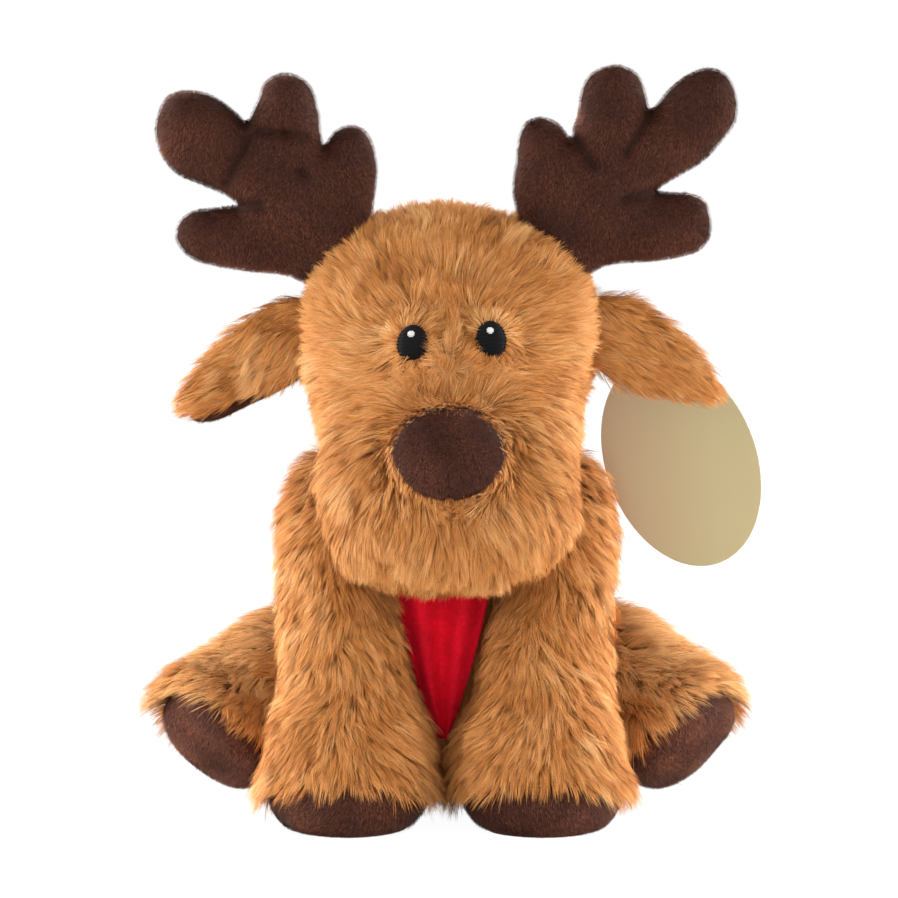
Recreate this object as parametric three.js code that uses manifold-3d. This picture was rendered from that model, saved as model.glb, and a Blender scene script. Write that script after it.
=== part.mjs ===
// Seated plush deer: stuffed covers, velboa antlers and soles, a neck bandana and a blank swing tag.
// Millimetres, +Z up, the deer faces -Y. The origin is the middle of the flat seat under the body.
import * as THREE from "three";
import { mergeVertices } from "three/addons/utils/BufferGeometryUtils.js";
import Module from "manifold-3d";

const wasm = await Module();
wasm.setup();

// Sizes that every piece shares
const CLEARANCE = 0.3;
const SEAT_CUT = 0.5;
const OVERRUN = 400;
const WELD = 0.0001;

// Cloth thicknesses, each with the dense foot of its pile
const FUR_THICKNESS = 3;
const VELBOA_THICKNESS = 1.4;
const BANDANA_THICKNESS = 1.6;

// Body, sitting upright, its chest leaning forward
const BODY_WIDTH = 117;
const BODY_DEPTH = 100;
const BODY_HEIGHT = 121;
const BODY_SIDES = 14;
const PELLET_RADIUS = 34;
const PELLET_HEIGHT = 22;

// Neck, a ball of stuffing that the head turns and nods on
const NECK_Y = -30;
const NECK_Z = 112;
const NECK_RADIUS = 25;
const NECK_SLACK = 0.9;

// Head, its long muzzle hanging forward
const HEAD_WIDTH = 98;
const HEAD_DEPTH = 82;
const HEAD_HEIGHT = 122;
const HEAD_Y = -48;
const HEAD_CHIN_Z = 74;
const HEAD_SIDES = 14;
const HEAD_TURN = 12;
const HEAD_NOD_DOWN = 3;
const HEAD_NOD_UP = 6;

// Face
const NOSE_WIDTH = 36;
const NOSE_HEIGHT = 29;
const NOSE_BULGE = 4;
const NOSE_Z = 124.5;
const EYE_WIDTH = 10;
const EYE_HEIGHT = 13;
const EYE_BULGE = 2.2;
const EYE_SPACING = 25;
const EYE_Z = 157.5;
const GLINT_SIZE = 2.4;
const GLINT_BULGE = 0.7;

// Antlers, flat and stuffed, with a stem and four rounded tines
const ANTLER_WIDTH = 62;
const ANTLER_HEIGHT = 60;
const ANTLER_X = 28;
const ANTLER_Y = -46;
const ANTLER_Z = 177;
const ANTLER_FLATNESS_SHARE = 0.72;
const ANTLER_SIDES = 8;
const ANTLER_FLEX = 8;

// Ears, hanging outward and down
const EAR_LENGTH = 51;
const EAR_WIDTH = 30;
const EAR_THICKNESS = 8;
const EAR_LINING_SHARE = 0.86;
const EAR_ROOT_X = 45;
const EAR_Y = -52;
const EAR_Z = 157.5;
const EAR_DROOP = 32;
const EAR_BACK_TILT = 20;
const EAR_SWING_BACK = 8;
const EAR_SWING_FORWARD = 40;

// Front legs, standing straight down in front of the chest
const FRONT_LEG_WIDTH = 60;
const FRONT_LEG_DEPTH = 60;
const FRONT_LEG_HEIGHT = 112;
const FRONT_LEG_X = 32.5;
const FRONT_LEG_Y = -88;
const SHOULDER_Y = -42;
const SHOULDER_Z = 92;
const FRONT_SWING_BACK = 4;
const FRONT_SWING_UP = 12;
const FRONT_SOLE_HEIGHT = 10;
const FRONT_SOLE_TILT = 18;

// Rear legs, splayed out to the sides, their soles facing forward
const REAR_LEG_REACH = 69;
const REAR_LEG_FORWARD = 70;
const REAR_LEG_THICKNESS = 62;
const HIP_X = 18;
const HIP_Y = 10;
const REAR_SWING_OUT = 15;
const REAR_SOLE_DEPTH = 9;
const LEG_SIDES = 12;

// Tail
const TAIL_LENGTH = 26;
const TAIL_RADIUS = 9;
const TAIL_TIP_RADIUS = 6.5;
const TAIL_Y = 44;
const TAIL_Z = 34;
const TAIL_RISE = 12;
const TAIL_WAG = 12;

// Bandana: a band round the tilted neck, its knot behind and its point in front
const BAND_RADIUS_SHARE = 0.41;
const BAND_Y_SHARE = -0.2;
const BAND_Z_SHARE = 0.785;
const BAND_RADIUS = BAND_RADIUS_SHARE * BODY_DEPTH;
const BAND_Y = BAND_Y_SHARE * BODY_DEPTH;
const BAND_Z = BAND_Z_SHARE * BODY_HEIGHT;
const BAND_HEIGHT = 9;
const BAND_TILT = 20;
const BAND_STEPS = 28;
const BAND_SWEEP_STEPS = 8;
const KNOT_RADIUS = 6;
const KNOT_TAIL_LENGTH = 24;
const KNOT_TAIL_SPREAD_SHARE = 0.6;
const POINT_WIDTH = 34;
const POINT_LENGTH = 52;
const POINT_FOLD_DEPTH = 3;
const POINT_LEAN = 4;
const POINT_TIP_SHARE = 0.1;
const POINT_ROWS = 6;
const POINT_COLUMNS = 8;

// Swing tag, a blank oval card hung by a plastic fastener behind the ear
const TAG_LENGTH = 73;
const TAG_WIDTH = 50;
const TAG_THICKNESS = 0.8;
const TAG_HOLE_RADIUS = 2;
const TAG_HOLE_INSET = 5;
const TAG_HOLE_X = 66;
const TAG_HOLE_Y = -23;
const TAG_HOLE_Z = 140;
const TAG_LEAN = 21;
const TAG_STEPS = 22;
const FASTENER_RADIUS = 0.6;
const FASTENER_STOP_RADIUS = 3.2;
const FASTENER_STEPS = 10;

// Sections of each soft form from its foot to its crown, as shares of that piece's sizes
const BODY_SECTION_SHARES = [
  { y: 0, z: 0, wide: 0, deep: 0 },
  { y: 0, z: 0, wide: 0.31, deep: 0.3 },
  { y: 0, z: 0.07, wide: 0.44, deep: 0.44 },
  { y: -0.01, z: 0.23, wide: 0.5, deep: 0.5 },
  { y: -0.05, z: 0.43, wide: 0.48, deep: 0.48 },
  { y: -0.12, z: 0.62, wide: 0.445, deep: 0.43 },
  { y: -0.17, z: 0.79, wide: 0.4, deep: 0.4 },
  { y: -0.2, z: 0.91, wide: 0.33, deep: 0.33 },
  { y: -0.24, z: 0.97, wide: 0.2, deep: 0.2 },
  { y: -0.26, z: 1, wide: 0, deep: 0 },
];
const HEAD_SECTION_SHARES = [
  { y: -0.775, z: 0.065, wide: 0, deep: 0 },
  { y: -0.73, z: 0.117, wide: 0.3, deep: 0.25 },
  { y: -0.64, z: 0.185, wide: 0.4, deep: 0.345 },
  { y: -0.52, z: 0.275, wide: 0.435, deep: 0.405 },
  { y: -0.36, z: 0.38, wide: 0.43, deep: 0.44 },
  { y: -0.19, z: 0.5, wide: 0.46, deep: 0.48 },
  { y: -0.06, z: 0.63, wide: 0.505, deep: 0.5 },
  { y: 0, z: 0.77, wide: 0.5, deep: 0.49 },
  { y: -0.01, z: 0.89, wide: 0.43, deep: 0.4 },
  { y: -0.04, z: 0.97, wide: 0.3, deep: 0.28 },
  { y: -0.05, z: 1, wide: 0, deep: 0 },
];
const FRONT_LEG_SECTION_SHARES = [
  { x: 0, y: 0, z: 0, wide: 0, deep: 0 },
  { x: 0, y: 0, z: 0, wide: 0.28, deep: 0.33 },
  { x: 0, y: -0.01, z: 0.05, wide: 0.42, deep: 0.46 },
  { x: 0, y: 0, z: 0.14, wide: 0.5, deep: 0.5 },
  { x: 0, y: 0.06, z: 0.265, wide: 0.45, deep: 0.45 },
  { x: 0.02, y: 0.16, z: 0.41, wide: 0.38, deep: 0.37 },
  { x: 0.06, y: 0.28, z: 0.585, wide: 0.33, deep: 0.335 },
  { x: 0.09, y: 0.46, z: 0.745, wide: 0.315, deep: 0.33 },
  { x: 0.11, y: 0.7, z: 0.885, wide: 0.285, deep: 0.31 },
  { x: 0.09, y: 0.9, z: 0.965, wide: 0.2, deep: 0.23 },
  { x: 0.08, y: 1.03, z: 1, wide: 0, deep: 0 },
];
const REAR_LEG_SECTION_SHARES = [
  { x: 0.947, y: -0.836, z: 0.266, wide: 0, deep: 0 },
  { x: 0.939, y: -0.829, z: 0.276, wide: 0.14, deep: 0.14 },
  { x: 0.921, y: -0.813, z: 0.297, wide: 0.27, deep: 0.27 },
  { x: 0.874, y: -0.771, z: 0.353, wide: 0.345, deep: 0.345 },
  { x: 0.757, y: -0.664, z: 0.435, wide: 0.4, deep: 0.385 },
  { x: 0.553, y: -0.443, z: 0.5, wide: 0.475, deep: 0.43 },
  { x: 0.318, y: -0.2, z: 0.5, wide: 0.5, deep: 0.44 },
  { x: 0.106, y: -0.043, z: 0.484, wide: 0.3, deep: 0.28 },
  { x: 0, y: 0, z: 0.484, wide: 0, deep: 0 },
];
const EAR_SECTION_SHARES = [
  { along: -0.12, droop: 0, wide: 0 },
  { along: -0.06, droop: 0, wide: 0.3 },
  { along: 0.06, droop: 0, wide: 0.42 },
  { along: 0.25, droop: 0.01, wide: 0.5 },
  { along: 0.5, droop: 0.03, wide: 0.46 },
  { along: 0.72, droop: 0.06, wide: 0.36 },
  { along: 0.9, droop: 0.1, wide: 0.22 },
  { along: 1, droop: 0.13, wide: 0 },
];
const ANTLER_LOBE_SHARES = [
  { from: [0.13, -0.06], to: [0.36, 0.42], startRadius: 0.27, endRadius: 0.32 },
  { from: [0.45, 0.46], to: [0.89, 0.75], startRadius: 0.22, endRadius: 0.21 },
  { from: [0.38, 0.5], to: [0.4, 0.88], startRadius: 0.19, endRadius: 0.17 },
  { from: [0.1, 0.08], to: [0.075, 0.63], startRadius: 0.15, endRadius: 0.14 },
  { from: [0.45, 0.26], to: [0.82, 0.15], startRadius: 0.17, endRadius: 0.16 },
];
const LOBE_CAP_ANGLES = [90, 45, 10];

// Materials
const FUR = { color: 0xc0823f, roughness: 0.95 };
const VELBOA = { color: 0x50301f, roughness: 0.9 };
const FILLING = { color: 0xf2efe8, roughness: 1 };
const PELLETS = { color: 0xd9d4c6, roughness: 0.8 };
const THREAD = { color: 0x17120f, roughness: 0.55 };
const WHITE_THREAD = { color: 0xf5f5f2, roughness: 0.6 };
const BANDANA = { color: 0xc20a1c, roughness: 0.9 };
const CARD = { color: 0xbda87e, roughness: 0.45 };
const CLEAR_PLASTIC = { color: 0xdedede, roughness: 0.35 };

const degrees = THREE.MathUtils.degToRad;
const point = (x, y, z) => new THREE.Vector3(x, y, z);
const X_AXIS = point(1, 0, 0);
const Y_AXIS = point(0, 1, 0);
const Z_AXIS = point(0, 0, 1);

// Geometry to solid and back
function solidOf(geometry) {
  const bare = geometry.clone();
  bare.deleteAttribute("normal");
  bare.deleteAttribute("uv");
  const merged = mergeVertices(bare, WELD);
  return new wasm.Manifold(new wasm.Mesh({
    numProp: 3,
    vertProperties: new Float32Array(merged.attributes.position.array),
    triVerts: new Uint32Array(merged.index.array),
  }));
}

function geometryOf(solid) {
  const mesh = solid.getMesh();
  const geometry = new THREE.BufferGeometry();
  geometry.setAttribute("position", new THREE.BufferAttribute(mesh.vertProperties, 3));
  geometry.setIndex(new THREE.BufferAttribute(mesh.triVerts, 1));
  return geometry;
}

const cut = (solid, ...blockers) => blockers.reduce((left, blocker) => left.subtract(blocker), solid);
const join = (...solids) => solids.reduce((all, solid) => all.add(solid));

// What a cut leaves of a piece, without the loose crumbs beside it
function largestBody(solid) {
  return solid.decompose().reduce((best, next) => (next.volume() > best.volume() ? next : best));
}

function moved(solid, matrix) {
  return solidOf(geometryOf(solid).applyMatrix4(matrix));
}

function turnAbout(pivot, axis, angle) {
  const back = new THREE.Matrix4().makeTranslation(-pivot.x, -pivot.y, -pivot.z);
  const turn = new THREE.Matrix4().makeRotationAxis(axis, degrees(angle));
  const forth = new THREE.Matrix4().makeTranslation(pivot.x, pivot.y, pivot.z);
  return forth.multiply(turn).multiply(back);
}

// Still neighbours as a piece meets them while it turns about its seam to each of the angles
function swung(neighbours, pivot, axis, angles) {
  return neighbours.flatMap((solid) => angles.map((angle) => moved(solid, turnAbout(pivot, axis, -angle))));
}

// A closed form through elliptical sections square to its spine
function loft(sections, side, sides) {
  const positions = [];
  const indices = [];
  sections.forEach((section, row) => {
    const before = sections[Math.max(row - 1, 0)].centre;
    const after = sections[Math.min(row + 1, sections.length - 1)].centre;
    const tangent = after.clone().sub(before).normalize();
    const wide = side.clone().addScaledVector(tangent, -side.dot(tangent)).normalize();
    const deep = tangent.clone().cross(wide);
    const count = section.wide === 0 ? 1 : sides;
    section.start = positions.length / 3;
    for (let step = 0; step < count; step += 1) {
      const angle = (2 * Math.PI * step) / sides;
      const vertex = section.centre.clone();
      vertex.addScaledVector(wide, section.wide * Math.cos(angle));
      vertex.addScaledVector(deep, section.deep * Math.sin(angle));
      positions.push(vertex.x, vertex.y, vertex.z);
    }
  });
  for (let row = 0; row + 1 < sections.length; row += 1) {
    const low = sections[row];
    const high = sections[row + 1];
    for (let step = 0; step < sides; step += 1) {
      const next = (step + 1) % sides;
      const lowNext = low.start + (low.wide ? next : 0);
      const highHere = high.start + (high.wide ? step : 0);
      if (high.wide > 0) indices.push(lowNext, high.start + next, highHere);
      if (low.wide > 0) indices.push(low.start + step, lowNext, highHere);
    }
  }
  const geometry = new THREE.BufferGeometry();
  geometry.setAttribute("position", new THREE.Float32BufferAttribute(positions, 3));
  geometry.setIndex(indices);
  return facingOut(geometry);
}

function facingOut(geometry) {
  const at = geometry.attributes.position;
  const index = geometry.index;
  const corner = (step) => point().fromBufferAttribute(at, index.getX(step));
  let volume = 0;
  for (let step = 0; step < index.count; step += 3) {
    volume += corner(step).dot(corner(step + 1).cross(corner(step + 2)));
  }
  if (volume < 0) index.array.reverse();
  return geometry;
}

// The same form with its skin moved along its normals
function spread(geometry, distance) {
  const copy = geometry.clone();
  copy.computeVertexNormals();
  const at = copy.attributes.position;
  const normals = copy.attributes.normal;
  for (let step = 0; step < at.count; step += 1) {
    at.setXYZ(
      step,
      at.getX(step) + normals.getX(step) * distance,
      at.getY(step) + normals.getY(step) * distance,
      at.getZ(step) + normals.getZ(step) * distance,
    );
  }
  return copy;
}

// A fur cover and its filling. The cover is dented by the neighbours that dentsAt gives at a distance,
// and it stays open where it is sewn on, at the seams.
function stuffed(geometry, seams, dentsAt) {
  const outside = cut(solidOf(geometry), UNDER_FLOOR, ...seams, ...dentsAt(CLEARANCE));
  const hollow = cut(solidOf(spread(geometry, -FUR_THICKNESS)), ...dentsAt(CLEARANCE + FUR_THICKNESS));
  const inset = FUR_THICKNESS + CLEARANCE;
  const filling = cut(solidOf(spread(geometry, -inset)), ...seams, ...dentsAt(CLEARANCE + inset));
  return { cover: outside.subtract(hollow), filling };
}

const grown = (geometry, distance) => solidOf(spread(geometry, distance));

function ball(radius, x, y, z) {
  return solidOf(new THREE.SphereGeometry(radius, 16, 10).rotateX(Math.PI / 2).translate(x, y, z));
}

// Everything on one side of a plane through a place, as a block that can be cut away
function halfSpace(place, normal, offset = 0) {
  const block = new THREE.BoxGeometry(OVERRUN, OVERRUN, OVERRUN).translate(0, 0, OVERRUN / 2 + offset);
  block.applyQuaternion(new THREE.Quaternion().setFromUnitVectors(Z_AXIS, normal.clone().normalize()));
  return solidOf(block.translate(place.x, place.y, place.z));
}

const UNDER_FLOOR = halfSpace(point(0, 0, 0), point(0, 0, -1));

const group = new THREE.Group();
function add(name, solid, material) {
  const geometry = geometryOf(largestBody(solid));
  geometry.computeVertexNormals();
  const mesh = new THREE.Mesh(geometry, new THREE.MeshStandardMaterial({ metalness: 0, ...material }));
  mesh.name = name;
  group.add(mesh);
}

// Head form and the space that it sweeps as it turns and nods
function headSections() {
  return HEAD_SECTION_SHARES.map((share) => ({
    centre: point(0, HEAD_Y + share.y * HEAD_DEPTH, HEAD_CHIN_Z + share.z * HEAD_HEIGHT),
    wide: share.wide * HEAD_WIDTH,
    deep: share.deep * HEAD_DEPTH,
  }));
}

const NECK = point(0, NECK_Y, NECK_Z);
const headGeometry = loft(headSections(), X_AXIS, HEAD_SIDES);
const headGrown = grown(headGeometry, CLEARANCE);
const headPoses = [-HEAD_TURN, 0, HEAD_TURN].flatMap((turn) =>
  [-HEAD_NOD_DOWN, HEAD_NOD_UP].map((nod) =>
    turnAbout(NECK, Z_AXIS, turn).multiply(turnAbout(NECK, X_AXIS, -nod))));
function headSweep(distance) {
  const solid = grown(headGeometry, distance);
  return headPoses.map((pose) => moved(solid, pose)).concat(solid);
}
const neckHollow = ball(NECK_RADIUS + NECK_SLACK, 0, NECK_Y, NECK_Z);

// Where a level line from the front first meets the head, and which way the skin faces there
const headMesh = new THREE.Mesh(headGeometry.toNonIndexed(), new THREE.MeshBasicMaterial());
function onFace(x, z) {
  const caster = new THREE.Raycaster(point(x, -OVERRUN, z), Y_AXIS);
  const hit = caster.intersectObject(headMesh)[0];
  return { place: hit.point, normal: hit.face.normal };
}

// A shallow oval dome seated on the face
function faceDome(x, z, width, height, bulge) {
  const { place, normal } = onFace(x, z);
  const dome = new THREE.SphereGeometry(1, 14, 6).scale(width / 2, height / 2, bulge);
  const across = Z_AXIS.clone().cross(normal).normalize();
  const up = normal.clone().cross(across);
  dome.applyMatrix4(new THREE.Matrix4().makeBasis(across, up, normal));
  dome.translate(place.x, place.y, place.z);
  return dome;
}

function buildHead() {
  add("neck", ball(NECK_RADIUS, 0, NECK_Y, NECK_Z), FUR);
  const { cover, filling } = stuffed(headGeometry, [neckHollow], () => []);
  add("head_cover", cover, FUR);
  add("head_stuffing", filling, FILLING);
  const nose = faceDome(0, NOSE_Z, NOSE_WIDTH, NOSE_HEIGHT, NOSE_BULGE);
  add("nose_patch", solidOf(nose).subtract(headGrown), VELBOA);
  for (const [name, side] of [["left", -1], ["right", 1]]) {
    const x = (side * EYE_SPACING) / 2;
    const eye = faceDome(x, EYE_Z, EYE_WIDTH, EYE_HEIGHT, EYE_BULGE);
    const eyeHollow = solidOf(spread(mergeVertices(bareOf(eye), WELD), CLEARANCE));
    const glint = faceDome(x, EYE_Z + EYE_HEIGHT / 4, GLINT_SIZE, GLINT_SIZE, EYE_BULGE + GLINT_BULGE);
    add(`eye_${name}`, solidOf(eye).subtract(headGrown), THREAD);
    add(`eye_glint_${name}`, cut(solidOf(glint), headGrown, eyeHollow), WHITE_THREAD);
  }
}

function bareOf(geometry) {
  const bare = geometry.clone();
  bare.deleteAttribute("normal");
  bare.deleteAttribute("uv");
  return bare;
}

// Body form, its cover open at the neck and its filling hollowed for the pouch of pellets
const bodyGeometry = loft(
  BODY_SECTION_SHARES.map((share) => ({
    centre: point(0, share.y * BODY_DEPTH, share.z * (BODY_HEIGHT + SEAT_CUT) - SEAT_CUT),
    wide: share.wide * BODY_WIDTH,
    deep: share.deep * BODY_DEPTH,
  })),
  X_AXIS,
  BODY_SIDES,
);
const bodyGrown = grown(bodyGeometry, CLEARANCE);
const bodyDents = (distance) => [bandSolid(distance), ...headSweep(distance)];

function bandSolid(spare) {
  const inner = BAND_RADIUS - spare;
  const outer = BAND_RADIUS + BANDANA_THICKNESS + spare;
  const half = BAND_HEIGHT / 2 + spare;
  const profile = [[inner, -half], [outer, -half], [outer, half], [inner, half], [inner, -half]];
  const ring = new THREE.LatheGeometry(profile.map(([x, y]) => new THREE.Vector2(x, y)), BAND_STEPS);
  ring.rotateX(Math.PI / 2 + degrees(BAND_TILT)).translate(0, BAND_Y, BAND_Z);
  return solidOf(facingOut(mergeVertices(bareOf(ring), WELD)));
}

function pelletPouch(spare) {
  const radius = PELLET_RADIUS + spare;
  const pouch = new THREE.SphereGeometry(1, 16, 8).rotateX(Math.PI / 2);
  pouch.scale(radius, radius, PELLET_HEIGHT / 2 + spare);
  const seat = FUR_THICKNESS + CLEARANCE - SEAT_CUT;
  return solidOf(pouch.translate(0, 0, seat + PELLET_HEIGHT / 2));
}

function buildBody() {
  const { cover, filling } = stuffed(bodyGeometry, [neckHollow], bodyDents);
  add("body_cover", cover, FUR);
  add("body_stuffing", cut(filling, pelletPouch(CLEARANCE)), FILLING);
  add("pellet_pouch", pelletPouch(0), PELLETS);
}

// Legs: a fur tube closed by a velboa sole, open where it is sewn to the body
function buildLeg(name, { cover, filling }, soleCut, soleRest) {
  add(`${name}_cover`, cut(cover, soleCut), FUR);
  add(`${name}_sole`, cut(cover, soleRest), VELBOA);
  add(`${name}_stuffing`, filling, FILLING);
}

function buildFrontLeg(name, side) {
  const geometry = loft(
    FRONT_LEG_SECTION_SHARES.map((share) => ({
      centre: point(
        side * (FRONT_LEG_X + share.x * FRONT_LEG_WIDTH),
        FRONT_LEG_Y + share.y * FRONT_LEG_DEPTH,
        share.z * (FRONT_LEG_HEIGHT + SEAT_CUT) - SEAT_CUT,
      ),
      wide: share.wide * FRONT_LEG_WIDTH,
      deep: share.deep * FRONT_LEG_DEPTH,
    })),
    X_AXIS,
    LEG_SIDES,
  );
  const shoulder = point(0, SHOULDER_Y, SHOULDER_Z);
  const angles = [FRONT_SWING_BACK, 0, -FRONT_SWING_UP / 2, -FRONT_SWING_UP];
  const sweepStep = (FRONT_SWING_BACK + FRONT_SWING_UP) / BAND_SWEEP_STEPS;
  const bandAngles = Array.from(
    { length: BAND_SWEEP_STEPS + 1 },
    (_, step) => FRONT_SWING_BACK - step * sweepStep,
  );
  const seams = swung([bodyGrown], shoulder, X_AXIS, angles);
  const leg = stuffed(geometry, seams, (distance) => [
    ...swung(headSweep(distance), shoulder, X_AXIS, angles),
    ...swung([bandSolid(distance)], shoulder, X_AXIS, bandAngles),
  ]);
  const tilt = degrees(FRONT_SOLE_TILT);
  const seamPlace = point(side * FRONT_LEG_X, FRONT_LEG_Y, FRONT_SOLE_HEIGHT);
  const down = point(0, -Math.sin(tilt), -Math.cos(tilt));
  const up = down.clone().negate();
  buildLeg(name, leg, halfSpace(seamPlace, down, -CLEARANCE), halfSpace(seamPlace, up));
}

function buildRearLeg(name, side) {
  const geometry = loft(
    REAR_LEG_SECTION_SHARES.map((share) => ({
      centre: point(
        side * (HIP_X + share.x * REAR_LEG_REACH),
        HIP_Y + share.y * REAR_LEG_FORWARD,
        share.z * REAR_LEG_THICKNESS,
      ),
      wide: share.wide * REAR_LEG_THICKNESS,
      deep: share.deep * REAR_LEG_THICKNESS,
    })),
    Z_AXIS,
    LEG_SIDES,
  );
  const hip = point(side * HIP_X, HIP_Y, 0);
  const seams = swung([bodyGrown], hip, Z_AXIS, [0, side * REAR_SWING_OUT / 2, side * REAR_SWING_OUT]);
  const toe = REAR_LEG_SECTION_SHARES[0];
  const ankle = REAR_LEG_SECTION_SHARES[3];
  const ahead = point(
    side * (toe.x - ankle.x) * REAR_LEG_REACH,
    (toe.y - ankle.y) * REAR_LEG_FORWARD,
    (toe.z - ankle.z) * REAR_LEG_THICKNESS,
  ).normalize();
  const tip = point(
    side * (HIP_X + toe.x * REAR_LEG_REACH),
    HIP_Y + toe.y * REAR_LEG_FORWARD,
    toe.z * REAR_LEG_THICKNESS,
  );
  const seamPlace = tip.addScaledVector(ahead, -REAR_SOLE_DEPTH);
  const back = ahead.clone().negate();
  const leg = stuffed(geometry, seams, () => []);
  buildLeg(name, leg, halfSpace(seamPlace, ahead, -CLEARANCE), halfSpace(seamPlace, back));
}

// Antlers: two velboa panels seamed round the edge, over a flat filling
function lobe(from, to, startRadius, endRadius) {
  const along = to.clone().sub(from).normalize();
  const capOf = (centre, radius, direction, angles) => angles.map((angle) => ({
    centre: centre.clone().addScaledVector(along, direction * radius * Math.sin(degrees(angle))),
    radius: angle === LOBE_CAP_ANGLES[0] ? 0 : radius * Math.cos(degrees(angle)),
  }));
  const rings = [
    ...capOf(from, startRadius, -1, LOBE_CAP_ANGLES),
    ...capOf(to, endRadius, 1, LOBE_CAP_ANGLES.toReversed()),
  ];
  const sections = rings.map(({ centre, radius }) => ({
    centre,
    wide: radius * ANTLER_FLATNESS_SHARE,
    deep: radius,
  }));
  return loft(sections, Y_AXIS, ANTLER_SIDES);
}

function buildAntler(name, side) {
  const place = ([x, z]) =>
    point(side * (ANTLER_X + x * ANTLER_WIDTH), ANTLER_Y, ANTLER_Z + z * ANTLER_HEIGHT);
  const lobes = ANTLER_LOBE_SHARES.map(({ from, to, startRadius, endRadius }) =>
    lobe(place(from), place(to), startRadius * ANTLER_HEIGHT, endRadius * ANTLER_HEIGHT));
  const layer = (distance) => join(...lobes.map((geometry) => solidOf(spread(geometry, distance))));
  const root = place(ANTLER_LOBE_SHARES[0].from);
  const seams = swung([headGrown], root, Y_AXIS, [-ANTLER_FLEX, 0, ANTLER_FLEX]);
  const skin = cut(layer(0), layer(-VELBOA_THICKNESS), ...seams);
  const frontHalf = halfSpace(root, point(0, -1, 0), -CLEARANCE / 2);
  const backHalf = halfSpace(root, point(0, 1, 0), -CLEARANCE / 2);
  add(`antler_${name}_front_panel`, cut(skin, backHalf), VELBOA);
  add(`antler_${name}_back_panel`, cut(skin, frontHalf), VELBOA);
  add(`antler_${name}_stuffing`, cut(layer(-VELBOA_THICKNESS - CLEARANCE), ...seams), FILLING);
}

// Ears: a fur leaf backed by a smaller velboa lining
function buildEar(name, side) {
  const droop = degrees(EAR_DROOP);
  const outward = point(side * Math.cos(droop), 0, -Math.sin(droop));
  const tilt = degrees(EAR_BACK_TILT);
  const across = point(side * Math.sin(droop), 0, Math.cos(droop));
  const face = point(0, -Math.cos(tilt), Math.sin(tilt));
  const width = across.clone().addScaledVector(face, -across.dot(face)).normalize();
  const leaf = (widthShare, thickness, sunk) => loft(
    EAR_SECTION_SHARES.map((share) => ({
      centre: point(side * EAR_ROOT_X, EAR_Y, EAR_Z)
        .addScaledVector(outward, share.along * EAR_LENGTH)
        .addScaledVector(Z_AXIS, -share.droop * EAR_LENGTH)
        .addScaledVector(face, -sunk),
      wide: share.wide * EAR_WIDTH * widthShare,
      deep: thickness / 2,
    })),
    width,
    LEG_SIDES,
  );
  const root = point(side * EAR_ROOT_X, EAR_Y, EAR_Z);
  const stops = [-EAR_SWING_BACK, 0, EAR_SWING_FORWARD / 2, EAR_SWING_FORWARD];
  const swings = stops.map((angle) => -side * angle);
  const seams = swung([headGrown], root, Z_AXIS, swings);
  const furThickness = EAR_THICKNESS - VELBOA_THICKNESS;
  const fur = leaf(1, furThickness, 0);
  const furHollow = solidOf(spread(fur, CLEARANCE));
  const lining = leaf(EAR_LINING_SHARE, furThickness, VELBOA_THICKNESS);
  add(`ear_${name}_fur`, cut(solidOf(fur), ...seams), FUR);
  add(`ear_${name}_lining`, cut(solidOf(lining), furHollow, ...seams), VELBOA);
}

function buildTail() {
  const root = point(0, TAIL_Y, TAIL_Z);
  const tip = point(0, TAIL_Y + TAIL_LENGTH - TAIL_TIP_RADIUS, TAIL_Z + TAIL_RISE);
  const tail = solidOf(lobe(root, tip, TAIL_RADIUS, TAIL_TIP_RADIUS));
  const seams = swung([bodyGrown], root, X_AXIS, [-TAIL_WAG, 0, TAIL_WAG]);
  add("tail", cut(tail, ...seams), FUR);
}

// The hanging point, a tapering cloth with one long fold down its middle
function bandanaPoint(top) {
  const positions = [];
  const indices = [];
  const rowSize = POINT_COLUMNS + 1;
  const layerSize = rowSize * (POINT_ROWS + 1);
  for (const back of [0, BANDANA_THICKNESS]) {
    for (let row = 0; row <= POINT_ROWS; row += 1) {
      const down = row / POINT_ROWS;
      const width = POINT_WIDTH * (1 - down * (1 - POINT_TIP_SHARE));
      for (let column = 0; column <= POINT_COLUMNS; column += 1) {
        const across = column / POINT_COLUMNS - 0.5;
        const fold = POINT_FOLD_DEPTH * Math.cos(4 * Math.PI * across) * (1 - down / 2);
        const y = top.y - POINT_LEAN * down + fold + back;
        positions.push(top.x + across * width, y, top.z - down * POINT_LENGTH);
      }
    }
  }
  const quad = (a, b, c, d) => indices.push(a, b, c, a, c, d);
  for (let row = 0; row < POINT_ROWS; row += 1) {
    for (let column = 0; column < POINT_COLUMNS; column += 1) {
      const a = row * rowSize + column;
      quad(a, a + rowSize, a + rowSize + 1, a + 1);
      quad(a + layerSize, a + layerSize + 1, a + layerSize + rowSize + 1, a + layerSize + rowSize);
    }
    const left = row * rowSize;
    const right = left + POINT_COLUMNS;
    quad(left, left + layerSize, left + layerSize + rowSize, left + rowSize);
    quad(right, right + rowSize, right + layerSize + rowSize, right + layerSize);
  }
  for (let column = 0; column < POINT_COLUMNS; column += 1) {
    const last = POINT_ROWS * rowSize + column;
    quad(column, column + 1, column + 1 + layerSize, column + layerSize);
    quad(last, last + layerSize, last + layerSize + 1, last + 1);
  }
  const geometry = new THREE.BufferGeometry();
  geometry.setAttribute("position", new THREE.Float32BufferAttribute(positions, 3));
  geometry.setIndex(indices);
  return solidOf(facingOut(geometry));
}

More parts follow.
